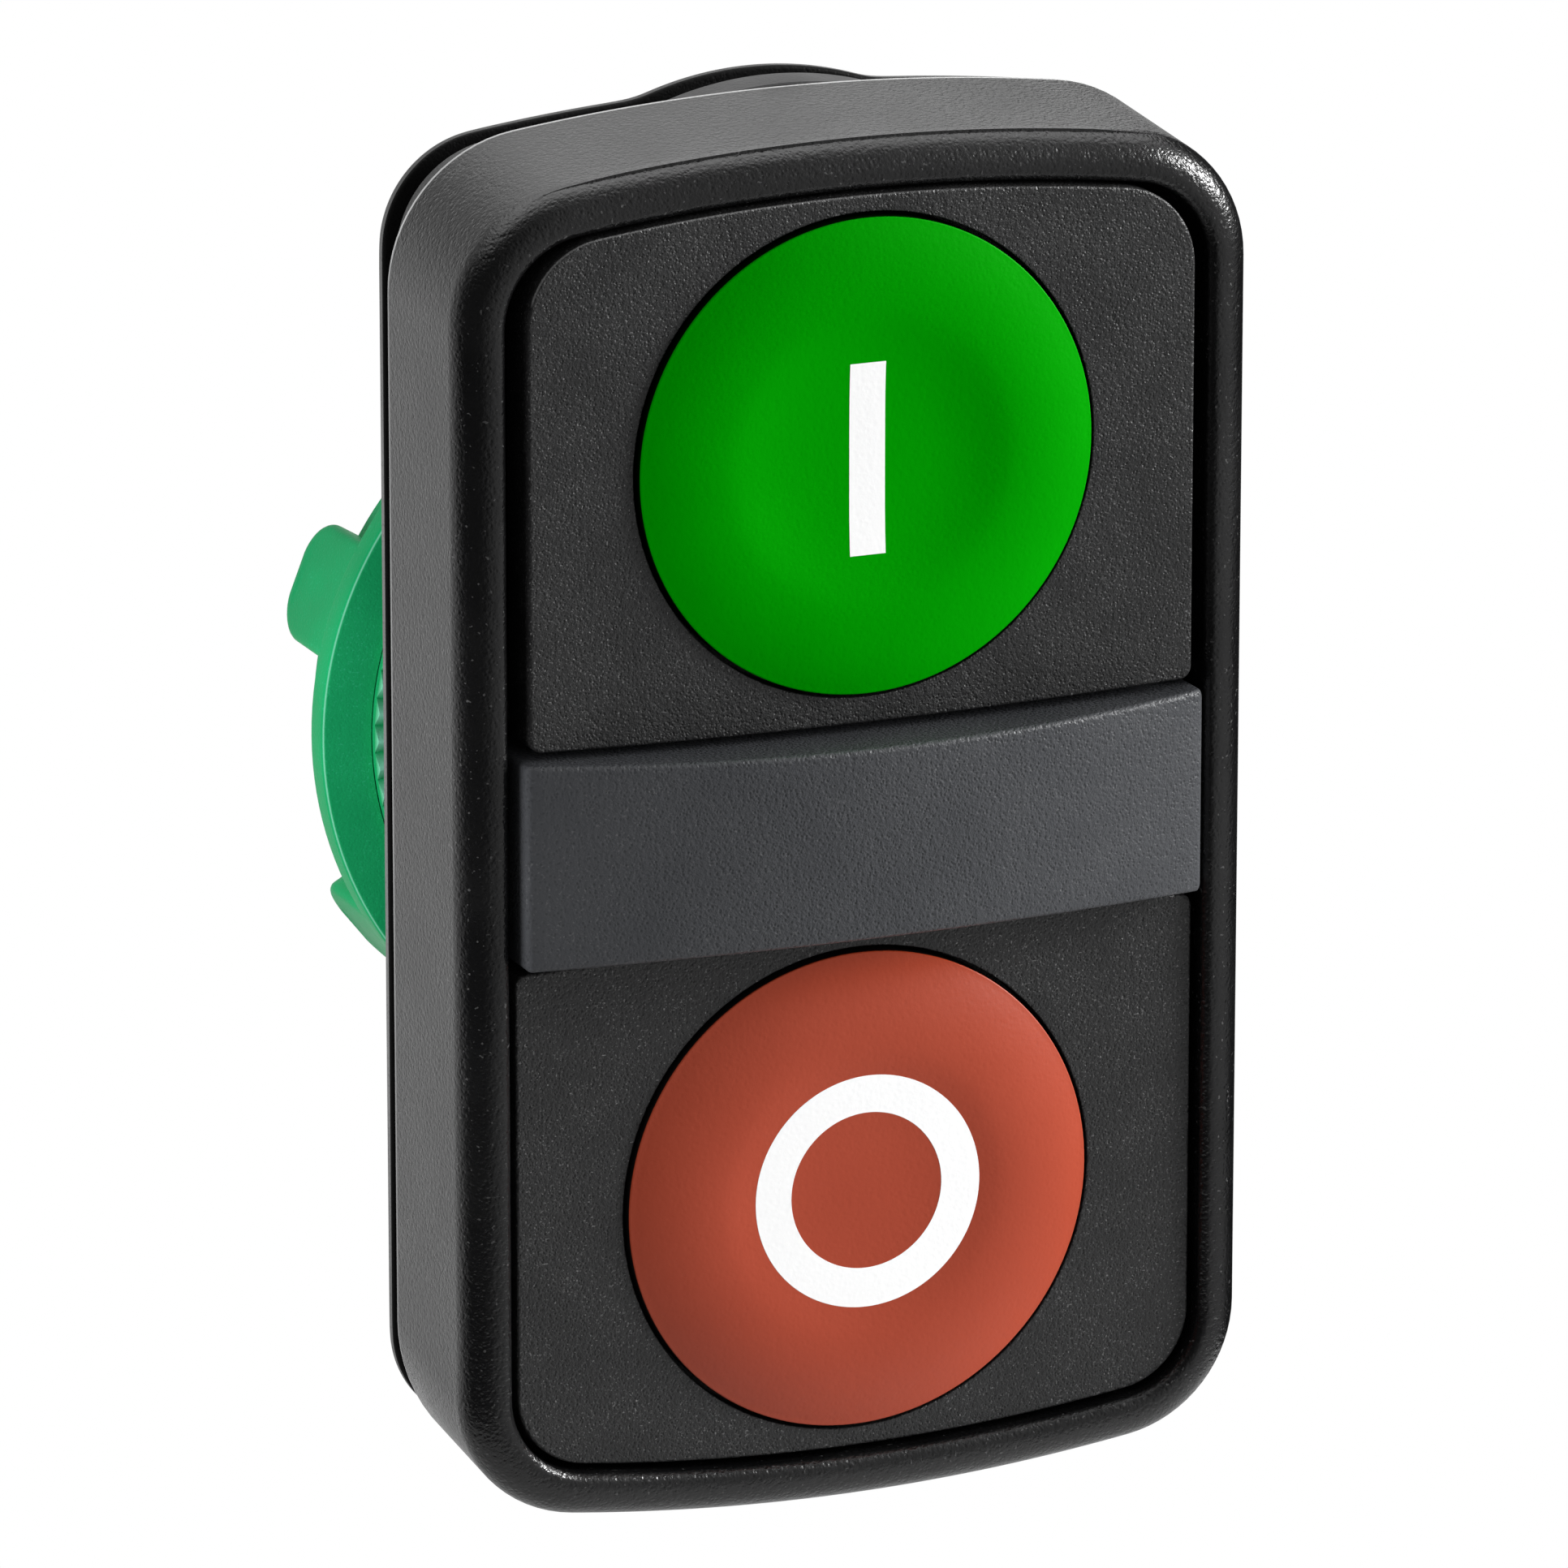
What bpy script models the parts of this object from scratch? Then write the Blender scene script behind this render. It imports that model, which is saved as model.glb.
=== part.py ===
"""Double push-button head for a 22 mm panel hole: a green start button over a red stop button.

Lengths are in metres. The barrel's axis is the Y axis, the panel's front face is the plane Y = 0,
the buttons face -Y and +Z is up. Every piece is modelled lying on its back, with x to the right,
y up the face and z out of the panel, and the empty named head stands the whole of it upright.
"""

import math

import bmesh
import bpy
from mathutils import Matrix, Vector

MM = 0.001

# Fits and clearances
SEAT_GAP = 0.1 * MM
RUNNING_GAP = 0.15 * MM
MARK_GAP = 0.05 * MM

# Front housing: the frame round the buttons
HOUSING_WIDTH = 30.0 * MM
HOUSING_HEIGHT = 49.8 * MM
HOUSING_DROP = 0.25 * MM
HOUSING_FRONT = 10.25 * MM
HOUSING_BOW = 79.0 * MM
HOUSING_CORNER = 4.85 * MM
RIM_WIDTH = 1.6 * MM
RIM_ROLL = 1.3 * MM
RIM_LIP = 0.3 * MM
SIDE_DRAFT = 0.05 * MM
TOP_DRAFT = 0.58 * MM
BOTTOM_DRAFT = 0.2 * MM
REAR_TOP_CORNER = 5.4 * MM
REAR_BOTTOM_CORNER = 6.4 * MM

# Rubber seal against the panel
SEAL_THICKNESS = 0.5 * MM
SEAL_SIDE_INSET = 0.95 * MM
SEAL_END_INSET = 0.06 * MM
SEAL_CORNER = 3.95 * MM
LOBE_RADIUS = 12.63 * MM
LOBE_RISE = 0.7 * MM

# Rear body: seat for the seal, flange, back plate and hollow barrel
SEAT_INSET = 1.4 * MM
SEAT_DEPTH = 1.03 * MM
FLANGE_THICKNESS = 1.69 * MM
BACK_PLATE_RISE = 1.08 * MM
BACK_PLATE_THICKNESS = 1.25 * MM
BARREL_RADIUS = 10.9 * MM
BARREL_WALL = 1.2 * MM
BARREL_LENGTH = 14.55 * MM
BARREL_CHAMFER = 0.4 * MM
NECK_LENGTH = 1.6 * MM
THREAD_PITCH = 1.5 * MM
THREAD_DEPTH = 0.45 * MM
THREAD_CREST = 0.3 * MM
THREAD_ROOT = 0.35 * MM
PANEL_HOLE_GAP = 0.25 * MM
KEY_WIDTH = 3.0 * MM
KEY_HEIGHT = 1.7 * MM
KEY_LENGTH = 0.9 * MM
KEYWAY_WIDTH = 2.2 * MM
KEYWAY_DEPTH = 0.7 * MM
BAYONET_WIDTH = 4.0 * MM
BAYONET_DEPTH = 2.5 * MM

# Centre strip between the buttons and the bar that carries it
STRIP_SIDE_GAP = 0.5 * MM
STRIP_HALF_HEIGHT = 3.75 * MM
STRIP_WAIST = 0.27 * MM
STRIP_STAND = 0.54 * MM
STRIP_BULGE = 1.7 * MM
STRIP_DEPTH = 4.1 * MM
STRIP_WALL = 1.2 * MM
STRIP_GAP = 0.35 * MM
CARRIER_TOP = 1.6 * MM

# Buttons
PLATE_THICKNESS = 2.0 * MM
PLATE_INNER_CORNER = 0.4 * MM
START_SIDE_GAP = 0.8 * MM
START_END_GAP = 0.3 * MM
START_STAND = 0.15 * MM
STOP_SIDE_GAP = 0.42 * MM
STOP_END_GAP = 0.5 * MM
STOP_STAND = -0.48 * MM
CAP_END_MARGIN = 1.15 * MM
CAP_STRIP_MARGIN = 1.02 * MM
CAP_GAP = 0.18 * MM
CAP_STAND = 0.1 * MM
CAP_SEAT = 1.2 * MM
CAP_SHOULDER = 1.75 * MM
CAP_CREST_RISE = 0.35 * MM
CAP_DISH_DEPTH = 0.5 * MM
CAP_BOSS_RADIUS = 2.2 * MM
MARK_DEPTH = 0.55 * MM
BAR_WIDTH = 1.35 * MM
BAR_HEIGHT = 6.9 * MM
RING_OUTER = 4.2 * MM
RING_INNER = 2.84 * MM

# Plungers, their seals and their return springs
PLUNGER_ANGLE = 62.7
PLUNGER_LAND = 0.28 * MM
PLUNGER_RADIUS = 1.2 * MM
PLUNGER_SOCKET = 0.5 * MM
PLUNGER_SHORT = 0.8 * MM
STEM_SEAL_RADIUS = 2.5 * MM
STEM_SEAL_THICKNESS = 0.8 * MM
COLLAR_RADIUS = 2.0 * MM
COLLAR_THICKNESS = 0.7 * MM
COLLAR_BACK = 0.85 * MM
SPRING_RADIUS = 1.7 * MM
SPRING_WIRE = 0.5 * MM
SPRING_TURNS = 7
GUIDE_RECESS = 1.65 * MM
GUIDE_THICKNESS = 1.5 * MM
GUIDE_LEDGE = 0.2 * MM

# Fixing nut and its toothed lock ring
NUT_FRONT = 7.05 * MM
NUT_WALL = 1.45 * MM
NUT_RIM_REACH = 1.15 * MM
NUT_RIM = 1.2 * MM
NUT_CHAMFER = 0.15 * MM
NUT_LENGTH = 4.0 * MM
NUT_BORE_GAP = 0.25 * MM
LUG_COUNT = 6
LUG_FIRST_ANGLE = 158.5
LUG_WIDTH = 4.6 * MM
LUG_ROOT = 0.9 * MM
LUG_LENGTH = 4.0 * MM
LUG_ROUND = 1.5 * MM
RING_WIDTH = 0.95 * MM
RING_STAND = 0.6 * MM
RING_DEPTH = 0.75 * MM
TOOTH_COUNT = 72
TOOTH_HEIGHT = 0.4 * MM

# Facets
CORNER_STEPS = 6
CROWN_STEPS = 12
ROLL_STEPS = 5
LIP_STEPS = 2
ROUND_STEPS = 48
SMALL_STEPS = 24
DISH_STEPS = 6
SHOULDER_STEPS = 3
CURL_POINTS = 9

# Places that follow from the sizes above, as heights over the panel's front face
HALF_WIDTH = HOUSING_WIDTH / 2
HOUSING_TOP = HOUSING_HEIGHT / 2 - HOUSING_DROP
HOUSING_BOTTOM = -HOUSING_HEIGHT / 2 - HOUSING_DROP
SEAT_BACK = SEAL_THICKNESS + SEAT_GAP / 2
FLANGE_BACK = SEAT_BACK + SEAT_DEPTH
FLANGE_FRONT = FLANGE_BACK + FLANGE_THICKNESS
HOUSING_BACK = FLANGE_FRONT + SEAT_GAP / 2
BACK_PLATE_FRONT = FLANGE_FRONT + BACK_PLATE_RISE
BORE_CEILING = BACK_PLATE_FRONT - BACK_PLATE_THICKNESS
OPENING_HALF_WIDTH = HALF_WIDTH - RIM_WIDTH
STRIP_HALF_WIDTH = OPENING_HALF_WIDTH - STRIP_SIDE_GAP
STRIP_ENDS = HOUSING_FRONT + STRIP_STAND
STRIP_BACK = STRIP_ENDS - STRIP_DEPTH
WAIST_RADIUS = STRIP_HALF_WIDTH**2 / (2 * STRIP_WAIST)
PLATE_EDGE = STRIP_HALF_HEIGHT - STRIP_WAIST + STRIP_GAP
OPENING_HALF_HEIGHT = HOUSING_HEIGHT / 2 - RIM_WIDTH
CAP_RADIUS = (OPENING_HALF_HEIGHT - CAP_END_MARGIN - PLATE_EDGE - CAP_STRIP_MARGIN) / 2
BUTTON_CENTRE = OPENING_HALF_HEIGHT - CAP_END_MARGIN - CAP_RADIUS
CAP_CREST_RADIUS = CAP_RADIUS - CAP_SHOULDER
SEAL_CROWN = HOUSING_TOP - SEAL_END_INSET
LOBE_CENTRE = (0.0, SEAL_CROWN + LOBE_RISE - LOBE_RADIUS)
BORE_RADIUS = BARREL_RADIUS - BARREL_WALL
LEDGE_RADIUS = BORE_RADIUS + GUIDE_LEDGE
STEM_HOLE_RADIUS = PLUNGER_RADIUS + RUNNING_GAP
PLUNGER_REACH = BORE_RADIUS - COLLAR_RADIUS - PLUNGER_LAND
GUIDE_FRONT = BARREL_LENGTH - GUIDE_RECESS - GUIDE_THICKNESS
KEY_REACH = BARREL_RADIUS + KEY_HEIGHT
NUT_BORE = BARREL_RADIUS + NUT_BORE_GAP
NUT_HUB_RADIUS = NUT_BORE + NUT_WALL
NUT_RADIUS = NUT_HUB_RADIUS + NUT_RIM_REACH
RING_RADIUS = NUT_BORE + RING_WIDTH

parts = bpy.data.collections.new("double_push_button_head")
cutters = bpy.data.collections.new("cutters")


def clear_scene():
    for obj in list(bpy.data.objects):
        bpy.data.objects.remove(obj, do_unlink=True)
    for collection in (parts, cutters):
        bpy.context.scene.collection.children.link(collection)


def finish(name, colour, roughness):
    """A plastic or rubber with one colour and roughness."""
    material = bpy.data.materials.new(name)
    material.use_nodes = True
    shader = material.node_tree.nodes["Principled BSDF"]
    shader.inputs["Base Color"].default_value = (*colour, 1.0)
    shader.inputs["Roughness"].default_value = roughness
    shader.inputs["Metallic"].default_value = 0.0
    return material


def empty(name, parent=None, place=(0.0, 0.0, 0.0)):
    """An axis or frame that pieces hang on."""
    obj = bpy.data.objects.new(name, None)
    obj.empty_display_size = HOUSING_FRONT
    obj.location = place
    obj.parent = parent
    parts.objects.link(obj)
    return obj


def shape(name, mesh):
    """A new object on the head's frame, not yet in a collection that is seen."""
    obj = bpy.data.objects.new(name, mesh)
    obj.parent = bpy.data.objects["head"]
    return obj


def piece(obj, colour, roughness, axis=None):
    """Makes a shape one of the head's parts, hung on its own joint's axis if it moves."""
    parts.objects.link(obj)
    obj.data.materials.clear()
    obj.data.materials.append(finish(obj.name, colour, roughness))
    obj.data.shade_smooth()
    obj.data.set_sharp_from_angle(angle=math.radians(35))
    if axis is not None:
        obj.data.transform(Matrix.Translation(-axis.location))
        obj.parent = axis
    return obj


def combine(obj, other, operation):
    """Cuts, joins or trims a shape with another one, which is kept as a wire guide."""
    if other.name not in cutters.objects:
        cutters.objects.link(other)
        other.hide_render = True
        other.display_type = "WIRE"
    modifier = obj.modifiers.new(other.name, "BOOLEAN")
    modifier.operation = operation
    modifier.solver = "EXACT"
    modifier.object = other


def cut(obj, *others):
    for other in others:
        combine(obj, other, "DIFFERENCE")


def join(obj, *others):
    for other in others:
        combine(obj, other, "UNION")


def settled(obj):
    """The mesh that an object with modifiers, or a curve, comes to. The object itself goes."""
    bpy.context.scene.collection.objects.link(obj)
    graph = bpy.context.evaluated_depsgraph_get()
    mesh = bpy.data.meshes.new_from_object(obj.evaluated_get(graph))
    bpy.data.objects.remove(obj)
    bm = bmesh.new()
    bm.from_mesh(mesh)
    bmesh.ops.remove_doubles(bm, verts=bm.verts, dist=0.0005 * MM)
    bmesh.ops.recalc_face_normals(bm, faces=bm.faces)
    bm.to_mesh(mesh)
    bm.free()
    return mesh


def arc(centre, radius, start, end, steps):
    """Points along a circle, angles in radians."""
    turns = [start + (end - start) * i / steps for i in range(steps + 1)]
    return [(centre[0] + radius * math.cos(t), centre[1] + radius * math.sin(t)) for t in turns]


def circle(centre, radius, steps):
    return arc(centre, radius, 0.0, math.tau, steps)[:-1]


def rectangle(low, high):
    return [low, (high[0], low[1]), high, (low[0], high[1])]


def bowed_end(half_width, crown, bow, corner):
    """An end that bows upwards: round corner, crown and round corner, from right to left."""
    bow_centre = crown - bow
    corner_x = half_width - corner
    corner_y = bow_centre + math.sqrt((bow - corner) ** 2 - corner_x**2)
    meet = math.atan2(corner_y - bow_centre, corner_x)
    right = arc((corner_x, corner_y), corner, 0.0, meet, CORNER_STEPS)
    across = arc((0.0, bow_centre), bow, meet, math.pi - meet, CROWN_STEPS)[1:-1]
    return right + across + [(-x, y) for x, y in reversed(right)]


def bowed_outline(half_width, top, bottom):
    """Straight sides between two bowed ends, each given as its crown, bow and corner radius."""
    lower = bowed_end(half_width, -bottom[0], bottom[1], bottom[2])
    return bowed_end(half_width, *top) + [(-x, -y) for x, y in lower]


def housing_outline(inset):
    """The housing's outline at the front, drawn in by inset."""
    bow = HOUSING_BOW - inset
    corner = HOUSING_CORNER - inset
    top = (HOUSING_TOP - inset, bow, corner)
    bottom = (HOUSING_BOTTOM + inset, bow, corner)
    return bowed_outline(HALF_WIDTH - inset, top, bottom)


def rear_outline():
    """The housing's outline at its rear edge, spread by the drafts and with softer corners."""
    top = (HOUSING_TOP + TOP_DRAFT, HOUSING_BOW, REAR_TOP_CORNER)
    bottom = (HOUSING_BOTTOM - BOTTOM_DRAFT, HOUSING_BOW, REAR_BOTTOM_CORNER)
    return bowed_outline(HALF_WIDTH + SIDE_DRAFT, top, bottom)


def seal_outline(inset):
    """The seal's outline without its lobe, drawn in by inset."""
    bow = HOUSING_BOW - inset
    corner = SEAL_CORNER - inset
    top = (SEAL_CROWN - inset, bow, corner)
    bottom = (inset - SEAL_CROWN, bow, corner)
    return bowed_outline(HALF_WIDTH - SEAL_SIDE_INSET - inset, top, bottom)


def lobed_outline():
    """The seal's outline with the round lobe at its upper end."""
    outline = seal_outline(0.0)
    bow_centre = SEAL_CROWN - HOUSING_BOW
    round_points = arc(LOBE_CENTRE, LOBE_RADIUS, 0.0, math.pi, 2 * ROUND_STEPS)
    lobe = [(x, y) for x, y in round_points if math.hypot(x, y - bow_centre) > HOUSING_BOW]
    kept = [p for p in outline if p[1] < 0 or math.dist(p, LOBE_CENTRE) > LOBE_RADIUS]
    right = [p for p in kept if p[1] > 0 and p[0] > lobe[0][0]]
    return right + lobe + kept[len(right) :]


def extruded(name, outlines, low, high):
    """A flat outline, with any holes in it, given its thickness from low to high."""
    curve = bpy.data.curves.new(name, "CURVE")
    curve.dimensions = "2D"
    curve.fill_mode = "BOTH"
    curve.extrude = (high - low) / 2
    for points in outlines:
        spline = curve.splines.new("POLY")
        spline.points.add(len(points) - 1)
        spline.use_cyclic_u = True
        for point, (x, y) in zip(spline.points, points):
            point.co = (x, y, 0.0, 1.0)
    mesh = settled(bpy.data.objects.new(name, curve))
    mesh.transform(Matrix.Translation((0.0, 0.0, (low + high) / 2)))
    return shape(name, mesh)


def turned(name, profile, steps, centre=(0.0, 0.0), closed=False):
    """A profile of (radius, height) points, outer side first from the top, turned round an axis."""
    edges = [(i, i + 1) for i in range(len(profile) - 1)]
    if closed:
        edges.append((len(profile) - 1, 0))
    mesh = bpy.data.meshes.new(name)
    mesh.from_pydata([(radius, 0.0, height) for radius, height in profile], edges, [])
    obj = bpy.data.objects.new(name, mesh)
    screw = obj.modifiers.new("turn", "SCREW")
    screw.steps = screw.render_steps = steps
    screw.use_merge_vertices = True
    screw.merge_threshold = 0.001 * MM
    solid = settled(obj)
    solid.transform(Matrix.Translation((*centre, 0.0)))
    return shape(name, solid)


def cylinder(name, radius, low, high, centre=(0.0, 0.0), steps=ROUND_STEPS):
    return turned(name, [(0.0, high), (radius, high), (radius, low), (0.0, low)], steps, centre)


def ring(name, inner, outer, low, high, centre=(0.0, 0.0), steps=SMALL_STEPS):
    section = [(inner, high), (outer, high), (outer, low), (inner, low)]
    return turned(name, section, steps, centre, closed=True)


def block(name, low, high):
    """A box between two opposite corners."""
    bm = bmesh.new()
    bmesh.ops.create_cube(bm, size=1.0)
    size = Vector(high) - Vector(low)
    bmesh.ops.scale(bm, vec=size, verts=bm.verts)
    bmesh.ops.translate(bm, vec=Vector(low) + size / 2, verts=bm.verts)
    mesh = bpy.data.meshes.new(name)
    bm.to_mesh(mesh)
    bm.free()
    return shape(name, mesh)


def lofted_ring(name, loops):
    """Closed loops of points, each joined to the next and the last one back to the first."""
    bm = bmesh.new()
    rows = [[bm.verts.new(point) for point in points] for points in loops]
    for row, following in zip(rows, rows[1:] + rows[:1]):
        for i in range(len(row)):
            bm.faces.new((row[i - 1], row[i], following[i], following[i - 1]))
    bmesh.ops.recalc_face_normals(bm, faces=bm.faces)
    mesh = bpy.data.meshes.new(name)
    bm.to_mesh(mesh)
    bm.free()
    return shape(name, mesh)


def at_height(points, height):
    return [(x, y, height) for x, y in points]


def make_front_housing():
    """Frame with drafted walls, a rolled front rim and a small lip at the opening."""
    loops = [at_height(rear_outline(), HOUSING_BACK)]
    for i in range(ROLL_STEPS + 1):
        turn = math.pi / 2 * i / ROLL_STEPS
        inset = RIM_ROLL * (1 - math.cos(turn))
        loops.append(at_height(housing_outline(inset), HOUSING_FRONT - RIM_ROLL * (1 - math.sin(turn))))
    for i in range(LIP_STEPS + 1):
        turn = math.pi / 2 * i / LIP_STEPS
        inset = RIM_WIDTH - RIM_LIP * (1 - math.sin(turn))
        if inset > RIM_ROLL:
            loops.append(at_height(housing_outline(inset), HOUSING_FRONT - RIM_LIP * (1 - math.cos(turn))))
    loops.append(at_height(housing_outline(RIM_WIDTH), HOUSING_BACK))
    piece(lofted_ring("front_housing", loops), (0.030, 0.030, 0.032), 0.48)


def barrel_thread():
    """Right-handed screw from inside the neck to past the barrel's end, closed to a point at both ends."""
    crest = BARREL_RADIUS - SEAT_GAP
    root = crest - THREAD_DEPTH
    flank = (THREAD_PITCH - THREAD_CREST - THREAD_ROOT) / 2
    turns = math.ceil(BARREL_LENGTH / THREAD_PITCH) + 1
    low = -SEAT_GAP - (turns + 1) * THREAD_PITCH
    section = [(root, low + THREAD_PITCH), (crest, low + THREAD_PITCH - flank)]
    section += [(crest, low + THREAD_ROOT + flank), (root, low + THREAD_ROOT), (root, low)]
    mesh = bpy.data.meshes.new("barrel_thread")
    edges = [(i, i + 1) for i in range(len(section) - 1)]
    mesh.from_pydata([(radius, 0.0, height) for radius, height in section], edges, [])
    obj = bpy.data.objects.new("barrel_thread", mesh)
    screw = obj.modifiers.new("wind", "SCREW")
    screw.steps = screw.render_steps = ROUND_STEPS
    screw.iterations = turns
    screw.screw_offset = THREAD_PITCH
    wound = settled(obj)
    bm = bmesh.new()
    bm.from_mesh(wound)
    open_edges = [edge for edge in bm.edges if edge.is_boundary]
    for height in (low, -SEAT_GAP):
        near = [edge for edge in open_edges if abs(edge.verts[0].co.z - height) < 2 * THREAD_PITCH]
        new = bmesh.ops.extrude_edge_only(bm, edges=near)["geom"]
        tips = [item for item in new if isinstance(item, bmesh.types.BMVert)]
        bmesh.ops.pointmerge(bm, verts=tips, merge_co=(0.0, 0.0, height))
    bmesh.ops.recalc_face_normals(bm, faces=bm.faces)
    bm.to_mesh(wound)
    bm.free()
    return shape("barrel_thread", wound)


def make_rear_body():
    """Flange that closes the housing, with a seat for the seal and the hollow threaded barrel."""
    body = extruded("rear_body", [lobed_outline()], FLANGE_BACK, FLANGE_FRONT)
    inside_flange = (FLANGE_BACK + FLANGE_FRONT) / 2
    seat = extruded("seal_seat", [seal_outline(SEAT_INSET)], SEAT_BACK, inside_flange)
    plate_edge = housing_outline(RIM_WIDTH + RUNNING_GAP)
    plate = extruded("back_plate", [plate_edge], inside_flange, BACK_PLATE_FRONT)
    neck = cylinder("barrel_neck", BARREL_RADIUS, -NECK_LENGTH, inside_flange)
    key_root = (-KEY_WIDTH / 2, BORE_RADIUS, -KEY_LENGTH)
    key = block("orientation_key", key_root, (KEY_WIDTH / 2, KEY_REACH, inside_flange))
    join(body, seat, plate, neck, barrel_thread(), key)

    outside = BARREL_RADIUS + BARREL_WALL
    past_end = -BARREL_LENGTH - BARREL_WALL
    past_thread = -BARREL_LENGTH - 3 * THREAD_PITCH
    end_profile = [(0.0, -BARREL_LENGTH), (BARREL_RADIUS - BARREL_CHAMFER, -BARREL_LENGTH)]
    end_profile += [(outside, BARREL_CHAMFER + BARREL_WALL - BARREL_LENGTH)]
    end_profile += [(outside, past_thread), (0.0, past_thread)]
    cut(body, turned("barrel_end", end_profile, ROUND_STEPS))
    ledge = -GUIDE_FRONT + SEAT_GAP
    bore_profile = [(0.0, BORE_CEILING), (BORE_RADIUS, BORE_CEILING), (BORE_RADIUS, ledge)]
    bore_profile += [(LEDGE_RADIUS, ledge), (LEDGE_RADIUS, past_end), (0.0, past_end)]
    keyway_floor = BARREL_RADIUS - KEYWAY_DEPTH
    keyway = block(
        "keyway",
        (-KEYWAY_WIDTH / 2, -outside, past_end),
        (KEYWAY_WIDTH / 2, -keyway_floor, -KEY_LENGTH),
    )
    bayonet = block(
        "bayonet_slots",
        (-outside, -BAYONET_WIDTH / 2, past_end),
        (outside, BAYONET_WIDTH / 2, BAYONET_DEPTH - BARREL_LENGTH),
    )
    cut(body, turned("barrel_bore", bore_profile, ROUND_STEPS), keyway, bayonet)
    pocket_floor = BACK_PLATE_FRONT - STEM_SEAL_THICKNESS - SEAT_GAP
    for name, centre in (("start", start_stem), ("stop", stop_stem)):
        hole = cylinder(f"{name}_stem_hole", STEM_HOLE_RADIUS, 0.0, HOUSING_FRONT, centre, SMALL_STEPS)
        pocket_radius = STEM_SEAL_RADIUS + SEAT_GAP
        pocket = cylinder(
            f"{name}_seal_pocket", pocket_radius, pocket_floor, HOUSING_FRONT, centre, SMALL_STEPS
        )
        cut(body, hole, pocket)
    piece(body, (0.032, 0.032, 0.034), 0.5)


def make_panel_seal():
    """Flat rubber gasket with a lobe at the top, and a notched hole for the barrel and its key."""
    seal = extruded("panel_seal", [lobed_outline()], 0.0, SEAL_THICKNESS)
    below = -SEAL_THICKNESS
    above = 2 * SEAL_THICKNESS
    side = KEY_WIDTH / 2 + RUNNING_GAP
    notch = block("seal_notch", (-side, 0.0, below), (side, KEY_REACH + RUNNING_GAP, above))
    cut(seal, cylinder("seal_hole", BARREL_RADIUS + PANEL_HOLE_GAP, below, above), notch)
    piece(seal, (0.10, 0.10, 0.10), 0.75)


def make_centre_strip():
    """Grey cover that bulges forwards in plan and is waisted top and bottom, hollow behind."""
    shares = [1 - 2 * i / CROWN_STEPS for i in range(CROWN_STEPS + 1)]
    top = [(STRIP_HALF_WIDTH * s, STRIP_HALF_HEIGHT - STRIP_WAIST * (1 - s * s)) for s in shares]
    face = top + [(-x, -y) for x, y in top]
    front = [(STRIP_HALF_WIDTH * s, STRIP_ENDS + STRIP_BULGE * (1 - s * s)) for s in shares]
    plan = front + [(-STRIP_HALF_WIDTH, STRIP_BACK), (STRIP_HALF_WIDTH, STRIP_BACK)]
    strip = extruded("centre_strip", [face], STRIP_BACK, STRIP_ENDS + 2 * STRIP_BULGE)
    bulge = extruded("strip_bulge", [plan], -2 * STRIP_HALF_HEIGHT, 2 * STRIP_HALF_HEIGHT)
    bulge.data.transform(Matrix.Rotation(math.pi / 2, 4, "X"))
    combine(strip, bulge, "INTERSECT")
    inside_x = STRIP_HALF_WIDTH - STRIP_WALL
    inside_y = STRIP_HALF_HEIGHT - STRIP_WAIST - STRIP_WALL
    floor = STRIP_ENDS - STRIP_WALL
    hollow = block("strip_hollow", (-inside_x, -inside_y, 0.0), (inside_x, inside_y, floor))
    cut(strip, hollow)
    piece(strip, (0.060, 0.062, 0.068), 0.55)
    carrier = block(
        "strip_carrier",
        (RUNNING_GAP - inside_x, RUNNING_GAP - inside_y, BACK_PLATE_FRONT + SEAT_GAP),
        (inside_x - RUNNING_GAP, inside_y - RUNNING_GAP, floor - SEAT_GAP),
    )
    window_x = inside_x - RUNNING_GAP - CARRIER_TOP
    window_y = inside_y - RUNNING_GAP - CARRIER_TOP / 2
    window = block(
        "carrier_window",
        (-window_x, -window_y, 0.0),
        (window_x, window_y, floor - SEAT_GAP - CARRIER_TOP),
    )
    cut(carrier, window)
    piece(carrier, (0.03, 0.03, 0.032), 0.5)


def plate_outline(side, side_gap, end_gap):
    """A button plate: bowed like the opening at its outer end, and like the strip at its inner end."""
    half_width = OPENING_HALF_WIDTH - side_gap
    inset = RIM_WIDTH + end_gap
    end = HOUSING_TOP if side > 0 else -HOUSING_BOTTOM
    outer = (end - inset, HOUSING_BOW - inset, HOUSING_CORNER - inset)
    inner = (PLATE_EDGE, WAIST_RADIUS, PLATE_INNER_CORNER)
    points = bowed_end(half_width, *outer)
    points += [(-x, 2 * PLATE_EDGE - y) for x, y in bowed_end(half_width, *inner)]
    return [(side * x, side * y) for x, y in points]


def cap_height(radius):
    """The cap's front over its own edge: a shoulder up to a round crest, then a shallow dish."""
    if radius < CAP_CREST_RADIUS:
        return CAP_CREST_RISE - CAP_DISH_DEPTH * (1 - (radius / CAP_CREST_RADIUS) ** 2) ** 2
    fall = (radius - CAP_CREST_RADIUS) / (CAP_RADIUS - CAP_CREST_RADIUS)
    return CAP_CREST_RISE * (1 - fall * fall)


def cap_profile(edge, seat, tail):
    """The cap's half section: dished front, round edge, seat and the boss behind it."""
    dish = [CAP_CREST_RADIUS * i / DISH_STEPS for i in range(DISH_STEPS)]
    rest = (CAP_RADIUS - CAP_CREST_RADIUS) / SHOULDER_STEPS
    shoulder = [CAP_CREST_RADIUS + rest * i for i in range(SHOULDER_STEPS + 1)]
    front = [(radius, edge + cap_height(radius)) for radius in dish + shoulder]
    return front + [(CAP_RADIUS, seat), (CAP_BOSS_RADIUS, seat), (CAP_BOSS_RADIUS, tail), (0.0, tail)]


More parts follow.
